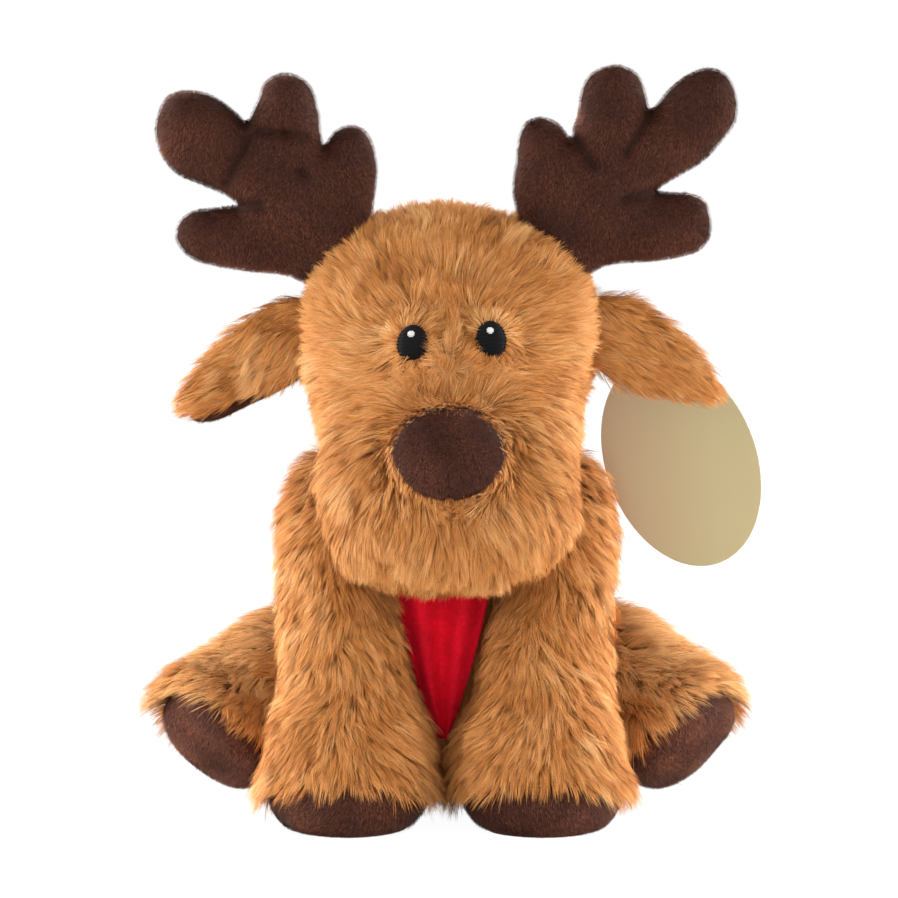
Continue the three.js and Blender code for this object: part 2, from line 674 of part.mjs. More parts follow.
function buildBandana() {
  const tilt = degrees(BAND_TILT);
  const onBand = (radius, turn, lift) => point(
    radius * Math.sin(turn),
    BAND_Y + radius * Math.cos(turn) * Math.cos(tilt) - lift * Math.sin(tilt),
    BAND_Z + radius * Math.cos(turn) * Math.sin(tilt) + lift * Math.cos(tilt),
  );
  add("bandana_band", bandSolid(0), BANDANA);
  const knotSeat = BAND_RADIUS + BANDANA_THICKNESS + KNOT_RADIUS;
  const knot = onBand(knotSeat, 0, 0);
  const from = (x, y, z) => knot.clone().add(point(x, y, z));
  const knotEnds = [-1, 1].map((side) => from((side * KNOT_RADIUS) / 2, 0, 0));
  const knotLobe = solidOf(lobe(...knotEnds, KNOT_RADIUS, KNOT_RADIUS));
  const tails = [-1, 1].map((side) => {
    const tip = from(side * KNOT_TAIL_LENGTH * KNOT_TAIL_SPREAD_SHARE, KNOT_RADIUS / 2, -KNOT_TAIL_LENGTH);
    return solidOf(lobe(knot, tip, KNOT_RADIUS / 2, KNOT_RADIUS / 2));
  });
  add("bandana_knot", cut(join(knotLobe, ...tails), bandSolid(CLEARANCE), bodyGrown), BANDANA);
  const hang = onBand(BAND_RADIUS + BANDANA_THICKNESS / 2, Math.PI, -BAND_HEIGHT / 2);
  hang.z -= CLEARANCE;
  hang.y -= POINT_FOLD_DEPTH;
  add("bandana_point", cut(bandanaPoint(hang), bandSolid(CLEARANCE)), BANDANA);
}

// The blank oval card and the plastic loop it hangs from
function buildTag() {
  const outline = new THREE.Shape().absellipse(0, 0, TAG_WIDTH / 2, TAG_LENGTH / 2, 0, 2 * Math.PI);
  const holeDrop = TAG_LENGTH / 2 - TAG_HOLE_INSET;
  const hole = new THREE.Path().absarc(0, holeDrop, TAG_HOLE_RADIUS, 0, 2 * Math.PI, true);
  outline.holes.push(hole);
  const card = new THREE.ExtrudeGeometry(outline, {
    depth: TAG_THICKNESS,
    bevelEnabled: false,
    curveSegments: TAG_STEPS,
  });
  card.translate(0, -holeDrop, -TAG_THICKNESS / 2).rotateZ(degrees(TAG_LEAN)).rotateX(Math.PI / 2);
  card.translate(TAG_HOLE_X, TAG_HOLE_Y, TAG_HOLE_Z);
  add("swing_tag", solidOf(facingOut(mergeVertices(bareOf(card), WELD))), CARD);

  const stopGap = TAG_THICKNESS / 2 + CLEARANCE;
  const route = new THREE.CatmullRomCurve3([
    point(HEAD_WIDTH / 4, TAG_HOLE_Y - TAG_HOLE_INSET, TAG_HOLE_Z + TAG_HOLE_INSET),
    point((HEAD_WIDTH / 2 + TAG_HOLE_X) / 2, TAG_HOLE_Y - TAG_HOLE_INSET, TAG_HOLE_Z + TAG_HOLE_INSET),
    point(TAG_HOLE_X, TAG_HOLE_Y - stopGap - FASTENER_RADIUS, TAG_HOLE_Z),
    point(TAG_HOLE_X, TAG_HOLE_Y + stopGap + FASTENER_RADIUS, TAG_HOLE_Z),
  ], false, "chordal");
  const ring = new THREE.Shape().absarc(0, 0, FASTENER_RADIUS, 0, 2 * Math.PI);
  const filament = new THREE.ExtrudeGeometry(ring, {
    extrudePath: route,
    steps: FASTENER_STEPS,
    curveSegments: 4,
    bevelEnabled: false,
  });
  const stopSize = [FASTENER_STOP_RADIUS, FASTENER_STOP_RADIUS, 2 * FASTENER_RADIUS];
  const stop = new THREE.CylinderGeometry(...stopSize, 16);
  stop.translate(TAG_HOLE_X, TAG_HOLE_Y + stopGap + FASTENER_RADIUS, TAG_HOLE_Z);
  const fastener = join(solidOf(facingOut(mergeVertices(bareOf(filament), WELD))), solidOf(stop));
  add("tag_fastener", cut(fastener, headGrown), CLEAR_PLASTIC);
}

buildBody();
buildHead();
for (const [name, side] of [["left", -1], ["right", 1]]) {
  buildFrontLeg(`front_leg_${name}`, side);
  buildRearLeg(`rear_leg_${name}`, side);
  buildAntler(name, side);
  buildEar(name, side);
}
buildTail();
buildBandana();
buildTag();

export default group;
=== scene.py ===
import math

import bmesh
import bpy
import numpy as np
from mathutils import Matrix, Vector
from mathutils.bvhtree import BVHTree
from mathutils.geometry import delaunay_2d_cdt


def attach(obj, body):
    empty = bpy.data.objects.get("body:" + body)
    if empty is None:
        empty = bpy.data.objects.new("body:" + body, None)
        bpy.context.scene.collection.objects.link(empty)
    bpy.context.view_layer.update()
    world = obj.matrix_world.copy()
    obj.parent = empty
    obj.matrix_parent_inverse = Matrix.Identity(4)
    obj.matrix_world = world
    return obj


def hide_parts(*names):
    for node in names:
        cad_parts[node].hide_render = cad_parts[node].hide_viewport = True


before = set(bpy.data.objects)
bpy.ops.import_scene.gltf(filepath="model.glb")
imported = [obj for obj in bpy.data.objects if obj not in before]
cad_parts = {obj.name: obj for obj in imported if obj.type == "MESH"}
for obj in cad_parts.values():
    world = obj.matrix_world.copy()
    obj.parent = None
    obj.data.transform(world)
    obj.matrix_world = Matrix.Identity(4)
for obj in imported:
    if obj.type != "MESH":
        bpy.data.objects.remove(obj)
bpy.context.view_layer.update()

MM = 0.001
SEED = 11
SIDES = {"left": -1, "right": 1}
X_AXIS = np.array([1.0, 0, 0])
Z_AXIS = np.array([0, 0, 1.0])

# Camera
CAMERA_TARGET = np.array([0, -50, 118]) * MM
CAMERA_ELEVATION = math.radians(7)
FRAME_WIDTH = 294.6 * MM
LENS = 240
SENSOR = 36

# Light of the room and the lamps: name, place, size and power, in metres and watts
WALL_LIGHT = 1.15
CEILING_LIGHT = 0.3
LAMP_AIM = (0, -0.04, 0.12)
LAMPS = [
    ("key", (-0.6, -1.5, 0.6), 0.9, 3),
    ("fill", (0.9, -1.4, 0.4), 1.0, 2),
    ("low", (0.0, -1.4, 0.1), 0.5, 2),
    ("left_side", (-1.2, -0.1, 0.25), 0.8, 12),
    ("right_side", (1.2, -0.1, 0.25), 0.8, 12),
    ("left_rim", (-0.9, 0.4, 0.9), 0.9, 10),
    ("right_rim", (0.9, 0.4, 0.9), 0.9, 10),
]
KICKER_PLACE = np.array([1.0, -0.35, 0.3])
KICKER_AIM = np.array([0.085, 0.0, 0.03])
KICKER_CONE = math.radians(15)
KICKER_POWER = 60
KICKER_SOFTNESS = 0.08
FLOOR_REACH = 30

# Body, head, neck and tail, as in the solids
BODY_SIZE = np.array([117, 100, 121]) * MM
HEAD_SIZE = np.array([98, 82, 122]) * MM
HEAD_CORNER = np.array([0, -48, 74]) * MM
NECK_CENTRE = np.array([0, -30, 112]) * MM
NECK_RADIUS = 25 * MM
FRONT_LEG_SIZE = np.array([60, 60, 112]) * MM
FRONT_LEG_FOOT = np.array([32.5, -88, 0]) * MM
FRONT_LEG_LEANS = {-1: 0, 1: -0.055}
FRONT_SEAM_HEIGHT = 10 * MM
FRONT_SEAM_TILT = math.radians(18)
REAR_LEG_SIZE = np.array([69, 70, 62]) * MM
REAR_LEG_HIP = np.array([18, 10, 0]) * MM
REAR_SEAM_DEPTH = 11 * MM
SEAM_EDGE = 1.5 * MM
SEAM_DRAW = 1.1 * MM
SEAM_DRAW_REACH = 1.6 * MM
TAIL_ROOT = np.array([0, 44, 34]) * MM
TAIL_TIP = np.array([0, 64, 46]) * MM
TAIL_RADIUS = 8 * MM

# Face
NOSE_WIDTH = 36 * MM
NOSE_HEIGHT = 28 * MM
NOSE_Z = 124.3 * MM
NOSE_BULGE = 3.6 * MM
NOSE_TIP = 0.9 * MM
NOSE_TIP_Z = -4 * MM
NOSE_TIP_SIZE = 6 * MM
NOSE_SEAM_WIDTH = 0.7 * MM
NOSE_SEAM_Z = (-4 * MM, -9 * MM)
NOSE_HEM = 0.8 * MM
EYE_WIDTH = 10 * MM
EYE_HEIGHT = 12.6 * MM
EYE_BULGE = 2.2 * MM
EYES = {"left": (-11.6 * MM, 157 * MM), "right": (13.4 * MM, 158 * MM)}
THREAD_PITCH = 0.42 * MM
EYE_SIZES = (EYE_WIDTH, EYE_HEIGHT, EYE_BULGE, THREAD_PITCH)
RAY_START_Y = -400 * MM
FACE_CENTRE = np.array([0, -92, 150]) * MM
FACE_FULL_Y = -85 * MM
FACE_Y = -70 * MM
CHEEK_Y = -60 * MM
NAPE_Y = -15 * MM
NOSE_COMB = (34 * MM, 14 * MM)
EYE_COMB = (13 * MM, 7 * MM)
GLINT_SIZES = (2.3 * MM, 2 * MM, 0.8 * MM, 0.34 * MM)
GLINT_RISE = 2.9 * MM
GLINT_SHIFT = np.array([-0.4, 0, 0]) * MM

# Fur. A pair of lengths says where something starts and where it is full
SKIN_INSET = 5 * MM
SKIN_LUMP = 0.7 * MM
LUMP_SIZE = 16 * MM
HEAD_LUMP = 0.6 * MM
HEAD_LUMP_SIZE = 18 * MM
LUMPS_FROM_FLOOR = 24 * MM
ANKLE = (-16 * MM, -2 * MM)
FUR_LENGTH = 9.5 * MM
FUR_WIDTH = 0.16 * MM
FUR_DENSITY = 7.5 / MM ** 2
STRANDS_PER_PIECE = 38000
TUFT_SIZE = 9 * MM
LOCK_SIZE = 1.8 * MM
FLOOR_GAP = 0.4 * MM
FLARE_CENTRE = np.array([0, -8, 40]) * MM
FLARE = (52 * MM, 26 * MM)
SOLE_RIM = (26 * MM, 4 * MM)
BURIED_DEPTH = 4 * MM
EAR_BURIED_DEPTH = 3 * MM
NECK_BURIED_DEPTH = 2 * MM
UNDER_SOLE_DEPTH = 2.5 * MM
SOLE_FROM = 0.3 * MM
LEG_FUR_FLOOR = (1.2 * MM, 4 * MM)
LEG_FUR_THIN = (3 * MM, 16 * MM)
BODY_FUR_FLOOR = (1 * MM, 5 * MM)
UNDERSIDE_HEIGHT = 12 * MM
REAR_BARE = (14 * MM, 6 * MM)
CHEST_Y = -40 * MM
CHEST_BELOW_BAND = -8 * MM
TONE_RANGE = (0.03, 0.97)

# Short nap of the velboa and the bandana
NAP_LENGTH = 1.5 * MM
NAP_WIDTH = 0.16 * MM
BRUSHED_SIZE = 13 * MM
TONE_SIZE = 9 * MM
NAP_DENSITY = 9 / MM ** 2

# Depth of the fine bumps in the materials
BACKING_BUMP = 0.4 * MM
NAP_BUMP = 0.3 * MM
THREAD_BUMP = 0.05 * MM
SMOOTH_BUMP = 0.03 * MM

# Ears. A side is -1 on the viewer's left and 1 on the right
EAR_LENGTH = 45 * MM
EAR_WIDTH = 29 * MM
EAR_ROOT = np.array([45, -52, 160]) * MM
EAR_DROOPS = {-1: math.radians(30), 1: math.radians(24)}
LINING_DROPS = {-1: 2.2 * MM, 1: 0.6 * MM}
EAR_TILT = math.radians(20)
EAR_THICKNESS = 4.5 * MM
LINING_THICKNESS = 4 * MM
LINING_SUNK = 2.6 * MM

# Antlers
ANTLER_Y = -46 * MM
ANTLER_HALF_THICKNESS = 9.2 * MM
ANTLER_ROUNDING = 10 * MM
ANTLER_STEP = 1.6 * MM
ANTLER_LUMP = 0.35 * MM
ANTLER_LUMP_SIZE = 9 * MM
ANTLER_LEAST = 0.15 * MM
CREASE_WIDTH = 1.7 * MM
CREASE_DEPTH = 2.2 * MM
BACK_CREASE_DEPTH = 0.8 * MM
SEAM_TONE_REACH = 2 * MM
PUCKER_PITCH = 3.4 * MM
PUCKER_DEPTH = 0.35 * MM
PUCKER_REACH = 2.2 * MM
PUCKER_DRIFT = 7 * MM

# Bandana
BAND_RADIUS = 41 * MM
BAND_HEIGHT = 13 * MM
BAND_CENTRE = np.array([0, -20, 95]) * MM
BAND_TILT = math.radians(20)
BAND_PINCH = 3.2 * MM
BAND_GAP = 0.8 * MM
BAND_GATHER = 0.9 * MM
BAND_RIPPLE = 0.5 * MM
POINT_TOP = np.array([-2.8, -60.5, 78]) * MM
POINT_DRIFT = 1.2 * MM
POINT_WIDTH = 33 * MM
POINT_LENGTH = 53 * MM
POINT_LEAN = 4 * MM
POINT_FOLD = 3 * MM
POINT_RIPPLE = 0.35 * MM
POINT_SWAY = 0.3 * MM
POINT_BACK_SHIFT = -1.5 * MM
POINT_BACK_GAP = 2.2 * MM
CLOTH_THICKNESS = 0.9 * MM
CLOTH_NAP = 0.9 * MM
KNOT_RADIUS = 6 * MM
KNOT_TAIL = 24 * MM
KNOT_GAP = 1.6 * MM
KNOT_FOLD = 0.5 * MM
KNOT_TWIST = 1.5 * MM
KNOT_TAIL_CUP = 1.3 * MM
KNOT_TAIL_SET = 0.6 * MM

# Swing tag
TAG_LENGTH = 73 * MM
TAG_WIDTH = 50 * MM
TAG_THICKNESS = 0.8 * MM
TAG_HOLE = np.array([66, -23, 140]) * MM
TAG_HOLE_INSET = 5 * MM
TAG_HOLE_RADIUS = 2 * MM
TAG_LEAN = math.radians(21)
TAG_BEVEL = 0.12 * MM
TAG_BEND = 0.45 * MM
TAG_INNER_X = 50 * MM
TAG_OUTER_X = 102 * MM

# Sections of the stuffed forms from foot to crown: x, y, z, width and depth, as shares of their sizes
BODY_SHARES = [
    (0, 0, 0, 0, 0), (0, 0, 0, 0.31, 0.3), (0, 0, 0.07, 0.44, 0.44), (0, -0.01, 0.23, 0.5, 0.5),
    (0, -0.05, 0.43, 0.48, 0.48), (0, -0.12, 0.62, 0.445, 0.43), (0, -0.17, 0.79, 0.4, 0.4),
    (0, -0.2, 0.91, 0.33, 0.33), (0, -0.24, 0.97, 0.2, 0.2), (0, -0.26, 1, 0, 0),
]
HEAD_SHARES = [
    (0, -0.775, 0.065, 0, 0), (0, -0.73, 0.117, 0.3, 0.25), (0, -0.64, 0.185, 0.4, 0.345),
    (0, -0.52, 0.275, 0.435, 0.405), (0, -0.36, 0.38, 0.43, 0.44), (0, -0.19, 0.5, 0.46, 0.48),
    (0, -0.06, 0.63, 0.505, 0.5), (0, 0, 0.77, 0.5, 0.49), (0, -0.01, 0.89, 0.43, 0.4),
    (0, -0.04, 0.97, 0.3, 0.28), (0, -0.05, 1, 0, 0),
]
FRONT_LEG_SHARES = [
    (0, 0, 0, 0, 0), (0, 0, 0, 0.28, 0.33), (0, -0.01, 0.05, 0.42, 0.46), (0, 0, 0.14, 0.5, 0.5),
    (0, 0.06, 0.265, 0.45, 0.45), (0.02, 0.16, 0.41, 0.38, 0.37), (0.06, 0.28, 0.585, 0.33, 0.335),
    (0.09, 0.46, 0.745, 0.315, 0.33), (0.11, 0.7, 0.885, 0.285, 0.31), (0.09, 0.9, 0.965, 0.2, 0.23),
    (0.08, 1.03, 1, 0, 0),
]
REAR_LEG_SHARES = [
    (0.947, -0.836, 0.266, 0, 0), (0.939, -0.829, 0.276, 0.14, 0.14), (0.921, -0.813, 0.297, 0.27, 0.27),
    (0.874, -0.771, 0.353, 0.345, 0.345), (0.757, -0.664, 0.435, 0.4, 0.385),
    (0.553, -0.443, 0.5, 0.475, 0.43), (0.318, -0.2, 0.5, 0.5, 0.44), (0.106, -0.043, 0.484, 0.3, 0.28),
    (0, 0, 0.484, 0, 0),
]
EAR_SHARES = [
    (-0.12, 0, 0), (-0.06, 0, 0.3), (0.06, 0, 0.42), (0.25, 0.01, 0.5), (0.5, 0.03, 0.46),
    (0.72, 0.05, 0.34), (0.9, 0.08, 0.2), (1, 0.1, 0),
]

# Antler outlines, x and z in millimetres, from the inner root round the tines to the outer root
ANTLER_OUTLINES = {
    "left": [
        (-27, 186), (-25, 197), (-23.6, 208.5), (-24.6, 216.5), (-27.2, 221.8), (-32.1, 223.8),
        (-37.4, 221.8), (-40.7, 217.5), (-42, 222.5), (-42.6, 228.5), (-45.6, 237.1), (-52.5, 240.8),
        (-59.4, 238.5), (-62.6, 231.5), (-66, 225.3), (-70.2, 228.5), (-77.4, 233.5), (-85, 235.1),
        (-92.2, 232.8), (-95.8, 223.5), (-94.1, 215.2), (-88.9, 208.5), (-80.4, 204.8), (-73, 201.4),
        (-69.6, 198), (-75.8, 196.8), (-83.6, 195.8), (-88.2, 192.2), (-89.2, 186.8), (-85.9, 181.9),
        (-79.4, 178.9), (-64, 176.2), (-53.8, 175.2), (-43, 171), (-34, 172), (-27, 178),
    ],
    "right": [
        (25, 186), (22.3, 195.5), (21, 203.8), (22, 212.2), (23, 220.5), (25.6, 225.1), (30.5, 226.5),
        (35.4, 224.5), (39.6, 220), (41, 223.5), (42.4, 228), (43.3, 235.1), (46.9, 241.1),
        (54.4, 243.5), (60.4, 241.5), (63.3, 237.1), (66, 229.3), (71.8, 235.5), (78.4, 240.5),
        (85, 242.5), (90.9, 239.8), (93.8, 233.1), (93.5, 225.8), (90.5, 220.8), (83.6, 213.2),
        (76.4, 208.5), (68, 203), (73.1, 201.8), (78.4, 201.5), (83.6, 199.2), (85.6, 193.2),
        (85, 187.2), (81.7, 183.2), (75.8, 181.2), (67.9, 179.9), (51.5, 178.3), (42, 173), (31, 174),
        (26, 180),
    ],
}
ANTLER_CREASES = {
    "left": [
        (-61.7, 223.1, -53, 222.2), (-53, 222.2, -46.9, 220.8), (-65.5, 219.8, -72.5, 206.2),
        (-69, 198, -61, 199), (-47.9, 209.6, -47.3, 208.8),
    ],
    "right": [(66, 229.5, 58, 216), (41, 221, 47, 212), (68, 203, 57, 201)],
}

# Colours, as sRGB
FUR_DEEP = (0.60, 0.34, 0.14)
FUR_MID = (0.89, 0.595, 0.30)
FUR_PALE = (0.98, 0.80, 0.55)
VELBOA = (0.17, 0.07, 0.035)
VELBOA_MID = (0.335, 0.175, 0.115)
VELBOA_PALE = (0.62, 0.37, 0.25)
RED = (1.0, 0.055, 0.19)
RED_DEEP = (0.93, 0.035, 0.15)
TAG_LIGHT = (0.645, 0.59, 0.435)
TAG_DARK = (0.63, 0.53, 0.41)


def linear(colour):
    """An sRGB colour as linear light."""
    return [c / 12.92 if c <= 0.04045 else ((c + 0.055) / 1.055) ** 2.4 for c in colour] + [1]


def unit(vectors):
    return vectors / np.maximum(np.linalg.norm(vectors, axis=-1, keepdims=True), 1e-12)


def laid(vectors, normals):
    """The vectors turned to lie along the skin."""
    return unit(vectors - normals * np.einsum("ij,ij->i", vectors, normals)[:, None])


def smooth(low, high, values):
    t = np.clip((np.asarray(values) - low) / (high - low), 0, 1)
    return t * t * (3 - 2 * t)


def waves(points, size, seed, count=7):
    """Soft noise from -1 to 1 with lumps of about that size."""
    rng = np.random.default_rng(seed)
    directions = unit(rng.normal(size=(count, 3)))
    phases = rng.uniform(0, 2 * math.pi, count)
    pace = rng.uniform(0.7, 1.4, count) * math.pi / size
    return np.sin((points @ directions.T) * pace + phases).sum(axis=1) / math.sqrt(count)


def curve_through(rows, count, closed=False):
    """Rows of numbers, resampled along the smooth curve through them."""
    rows = np.asarray(rows, float)
    last = len(rows) if closed else len(rows) - 1
    at = np.linspace(0, last, count, endpoint=not closed)
    step = np.minimum(at.astype(int), last - 1)
    t = (at - step)[:, None]

    def row(shift):
        index = step + shift
        return rows[index % len(rows)] if closed else rows[np.clip(index, 0, len(rows) - 1)]

    a, b, c, d = (row(shift) for shift in (-1, 0, 1, 2))
    return 0.5 * (2 * b + (c - a) * t + (2 * a - 5 * b + 4 * c - d) * t ** 2
                  + (3 * b - a - 3 * c + d) * t ** 3)


class Skin:
    """A closed skin with its points, faces and outward normals."""

    def __init__(self, points, faces):
        self.points = np.asarray(points, float)
        self.faces = faces
        self.tris = np.array([(f[0], f[k], f[k + 1]) for f in faces for k in range(1, len(f) - 1)])
        self.measure()

    def measure(self):
        a, b, c = (self.points[self.tris[:, k]] for k in range(3))
        cross = np.cross(b - a, c - a)
        self.areas = np.linalg.norm(cross, axis=1) / 2
        normals = np.zeros_like(self.points)
        for k in range(3):
            np.add.at(normals, self.tris[:, k], cross)
        self.normals = unit(normals)

    def moved(self, amounts):
        return Skin(self.points + self.normals * np.asarray(amounts)[:, None], self.faces)

    def cloth(self, name, material):
        return mesh_object(name, self.points, self.faces, material)

    def tree(self):
        return BVHTree.FromPolygons(self.points.tolist(), self.faces)


def lofted(rows, thick, across=X_AXIS, origin=0, scale=1, sides=56, length=52):
    """A skin through the sections, its ends rounded off, facing out."""
    rows = np.asarray(rows, float)
    centres = origin + rows[:, :3] * scale
    before = np.vstack([centres[:1], centres[:-1]])
    after = np.vstack([centres[1:], centres[-1:]])
    table = np.hstack([centres, unit(after - before), rows[:, 3:] * thick])
    mirror = np.hstack([np.ones(6), -np.ones(2)])
    table = np.vstack([table[1] * mirror, table, table[-2] * mirror])
    count = len(rows)
    fine = curve_through(table, (len(table) - 1) * 8 + 1)[8:8 * count + 1]
    picked = fine[np.linspace(0, len(fine) - 1, length).astype(int)]
    angles = np.arange(sides) * 2 * math.pi / sides
    points = [picked[0, :3]]
    for row in picked[1:-1]:
        tangent = unit(row[3:6])
        wide = unit(across - tangent * (across @ tangent))
        deep = np.cross(tangent, wide)
        ring = np.outer(np.cos(angles) * row[6], wide) + np.outer(np.sin(angles) * row[7], deep)
        points.extend(row[:3] + ring)
    points.append(picked[-1, :3])
    return facing_out(Skin(points, tube_faces(len(picked) - 2, sides)))


def grid_faces(rows, columns, closed=False, start=0):
    """Quads between the rows of a grid of points; a closed grid joins the ends of each row."""
    wide = columns if closed else columns + 1
    faces = []
    for row in range(rows):
        for column in range(columns):
            a = start + row * wide + column
            b = start + row * wide + (column + 1) % wide
            faces.append((a, b, b + wide, a + wide))
    return faces


def tube_faces(rings, sides):
    """The faces of a lofted skin: a fan at each end and quads between."""
    faces = [(0, 1 + (k + 1) % sides, 1 + k) for k in range(sides)]
    faces += grid_faces(rings - 1, sides, True, 1)
    last = 1 + rings * sides
    faces += [(last - sides + k, last - sides + (k + 1) % sides, last) for k in range(sides)]
    return faces


def turned(skin):
    """The same skin with its faces looking the other way."""
    return Skin(skin.points, [tuple(reversed(face)) for face in skin.faces])


def facing_out(skin):
    a, b, c = (skin.points[skin.tris[:, k]] for k in range(3))
    return turned(skin) if np.einsum("ij,ij->i", a, np.cross(b, c)).sum() < 0 else skin


def on_floor(skin):
    skin.points[:, 2] = np.maximum(skin.points[:, 2], 0)
    skin.measure()
    return skin


def in_scene(name, data):
    made = bpy.data.objects.new(name, data)
    bpy.context.scene.collection.objects.link(made)
    return made


def mesh_object(name, points, faces, material, flat=False):
    mesh = bpy.data.meshes.new(name)
    mesh.from_pydata(np.asarray(points).tolist(), [], [tuple(map(int, f)) for f in faces], shade_flat=flat)
    mesh.update()
    for each in material if isinstance(material, list) else [material]:
        mesh.materials.append(each)
    return in_scene(name, mesh)


def placed(piece, body, slot, *nodes):
    """The piece rides on the body and stands for the nodes; its slot is not used."""
    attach(piece, body)
    if nodes:
        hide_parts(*nodes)
    return piece


# Materials
def new_material(name):
    material = bpy.data.materials.new(name)
    material.use_nodes = True
    tree = material.node_tree
    return material, tree, tree.nodes["Principled BSDF"]


def feed(socket, value):
    """Links the socket to another node's output, or sets it."""
    if isinstance(value, bpy.types.NodeSocket):
        socket.id_data.links.new(value, socket)
    else:
        socket.default_value = value


def set_inputs(made, **values):
    """Feeds a node's sockets by their names, with _ for a space."""
    for name, value in values.items():
        feed(made.inputs[name.replace("_", " ")], value)
    return made


def node(tree, kind, *values, **settings):
    """A new node, its first sockets fed in their order."""
    made = tree.nodes.new("ShaderNode" + kind)
    for name, value in settings.items():
        setattr(made, name, value)
    for socket, value in zip(made.inputs, values):
        feed(socket, value)
    return made


def ramp(tree, factor, stops):
    made = node(tree, "ValToRGB", factor)
    elements = made.color_ramp.elements
    while len(elements) < len(stops):
        elements.new(0.5)
    for element, (place, colour) in zip(elements, stops):
        element.position = place
        element.color = linear(colour)
    return made.outputs["Color"]


def noise(tree, scale, detail=3, rough=0.6):
    made = node(tree, "TexNoise", node(tree, "TexCoord").outputs["Object"])
    return set_inputs(made, Scale=scale, Detail=detail, Roughness=rough).outputs["Fac"]


def bumped(tree, shader, height, distance, strength):
    bump = set_inputs(node(tree, "Bump"), Distance=distance, Strength=strength, Height=height)
    set_inputs(shader, Normal=bump.outputs["Normal"])


def multiplied(tree, first, second):
    """The colours of two outputs, multiplied."""
    made = node(tree, "Mix", 1.0, data_type="RGBA", blend_type="MULTIPLY")
    feed(made.inputs[6], first)
    feed(made.inputs[7], second)
    return made.outputs[2]


def strand_material(name, stops, root, sheen):
    """Strands: their tone runs across the map and their length up it, with painted shade that darkens them
    towards the root.
    """
    material, tree, shader = new_material(name)
    split = node(tree, "SeparateXYZ", node(tree, "UVMap", uv_map="OFBake").outputs["UV"])
    tone = ramp(tree, split.outputs["X"], stops)
    # Painted shade along each strand: darkest at the root, in the depth of the pile.
    shade = ramp(tree, split.outputs["Y"], [(0, root), (0.5, (0.93, 0.90, 0.87)), (1, (1, 1, 1))])
    set_inputs(shader, Base_Color=multiplied(tree, tone, shade), Roughness=0.62, Specular_IOR_Level=0.25,
               Sheen_Weight=sheen, Sheen_Roughness=0.4, Sheen_Tint=linear(stops[-1][1]))
    return material


def shaded_backing_material():
    material, tree, shader = new_material("fur_backing_painted_shade")
    # Painted shade: the skin under the fur is dark brown with fine random variation, so the gaps between
    # strands read as shadowed depth.
    colour = ramp(tree, noise(tree, 350), [(0.3, FUR_DEEP), (0.75, (0.55, 0.33, 0.16))])
    set_inputs(shader, Base_Color=colour, Roughness=0.95)
    bumped(tree, shader, noise(tree, 1400), BACKING_BUMP, 0.6)
    return material


def nap_material(name, deep, pale, sheen, grain=900, brushed=0.85):
    """Short-pile velboa: fine specks, soft darker patches of painted sheen where the nap lies another way
    and catches less light, and a fuzzy sheen.
    """
    material, tree, shader = new_material(name)
    specks = ramp(tree, noise(tree, grain, 5, 0.8), [(0.4, deep), (0.62, pale)])
    # Painted sheen: patches darkened to the brushed share, for nap that lies another way and catches less
    # light.
    patches = ramp(tree, noise(tree, 75, 3), [(0.4, (brushed, brushed, brushed)), (0.6, (1, 1, 1))])
    set_inputs(shader, Base_Color=multiplied(tree, specks, patches), Roughness=0.85,
               Specular_IOR_Level=0.2, Sheen_Weight=sheen, Sheen_Roughness=0.45, Sheen_Tint=linear(pale))
    bumped(tree, shader, noise(tree, grain * 1.6, 3, 0.7), NAP_BUMP, 0.55)
    return material


def plain_material(name, colour, rough, shine=0.5):
    material, tree, shader = new_material(name)
    darker = tuple(c * 0.82 for c in colour)
    speckled = ramp(tree, noise(tree, 1500), [(0.3, darker), (0.7, colour)])
    set_inputs(shader, Base_Color=speckled, Roughness=rough, Specular_IOR_Level=shine)
    bumped(tree, shader, noise(tree, 3000), THREAD_BUMP, 0.4)
    return material


def tag_material():
    """A card with a soft metallic ink, paler towards its outer edge."""
    material, tree, shader = new_material("tag_card")
    split = node(tree, "SeparateXYZ", node(tree, "TexCoord").outputs["Object"])
    span = node(tree, "MapRange", split.outputs["X"], TAG_INNER_X, TAG_OUTER_X)
    ink = ramp(tree, span.outputs[0], [(0, TAG_DARK), (0.75, TAG_LIGHT)])
    set_inputs(shader, Base_Color=ink, Roughness=0.38, Metallic=0.35)
    bumped(tree, shader, noise(tree, 2500), SMOOTH_BUMP, 0.25)
    return material


def plastic_material():
    material, tree, shader = new_material("clear_plastic")
    set_inputs(shader, Base_Color=linear((0.88, 0.88, 0.87)), Roughness=0.3, Transmission_Weight=0.4)
    bumped(tree, shader, noise(tree, 1200), SMOOTH_BUMP, 0.3)
    return material


# The third colour of each strand material is the painted shade at the strands' roots.
FUR = strand_material("fur", [(0, FUR_DEEP), (0.5, FUR_MID), (1, FUR_PALE)], (0.62, 0.52, 0.44), 0.25)
VELBOA_TONES = [(0, VELBOA), (0.5, VELBOA_MID), (1, VELBOA_PALE)]
VELBOA_PILE = strand_material("velboa_pile", VELBOA_TONES, (0.6, 0.55, 0.5), 0.1)
RED_PILE = strand_material("bandana_pile", [(0, RED_DEEP), (1, RED)], (0.8, 0.8, 0.8), 0.1)
SHADED_BACKING = shaded_backing_material()
VELBOA_NAP = nap_material("velboa", VELBOA, VELBOA_MID, 0.15)
NOSE_NAP = nap_material("nose_velboa", VELBOA, VELBOA_MID, 0.15, 700)
RED_NAP = nap_material("bandana_cloth", RED_DEEP, RED, 0.25, 700, 0.9)
THREAD = plain_material("eye_thread", (0.012, 0.01, 0.012), 0.45, shine=0.16)
WHITE_THREAD = plain_material("white_thread", (0.93, 0.93, 0.92), 0.45)
CARD = tag_material()
CARD_EDGE = plain_material("tag_edge", (0.86, 0.83, 0.78), 0.7)
PLASTIC = plastic_material()


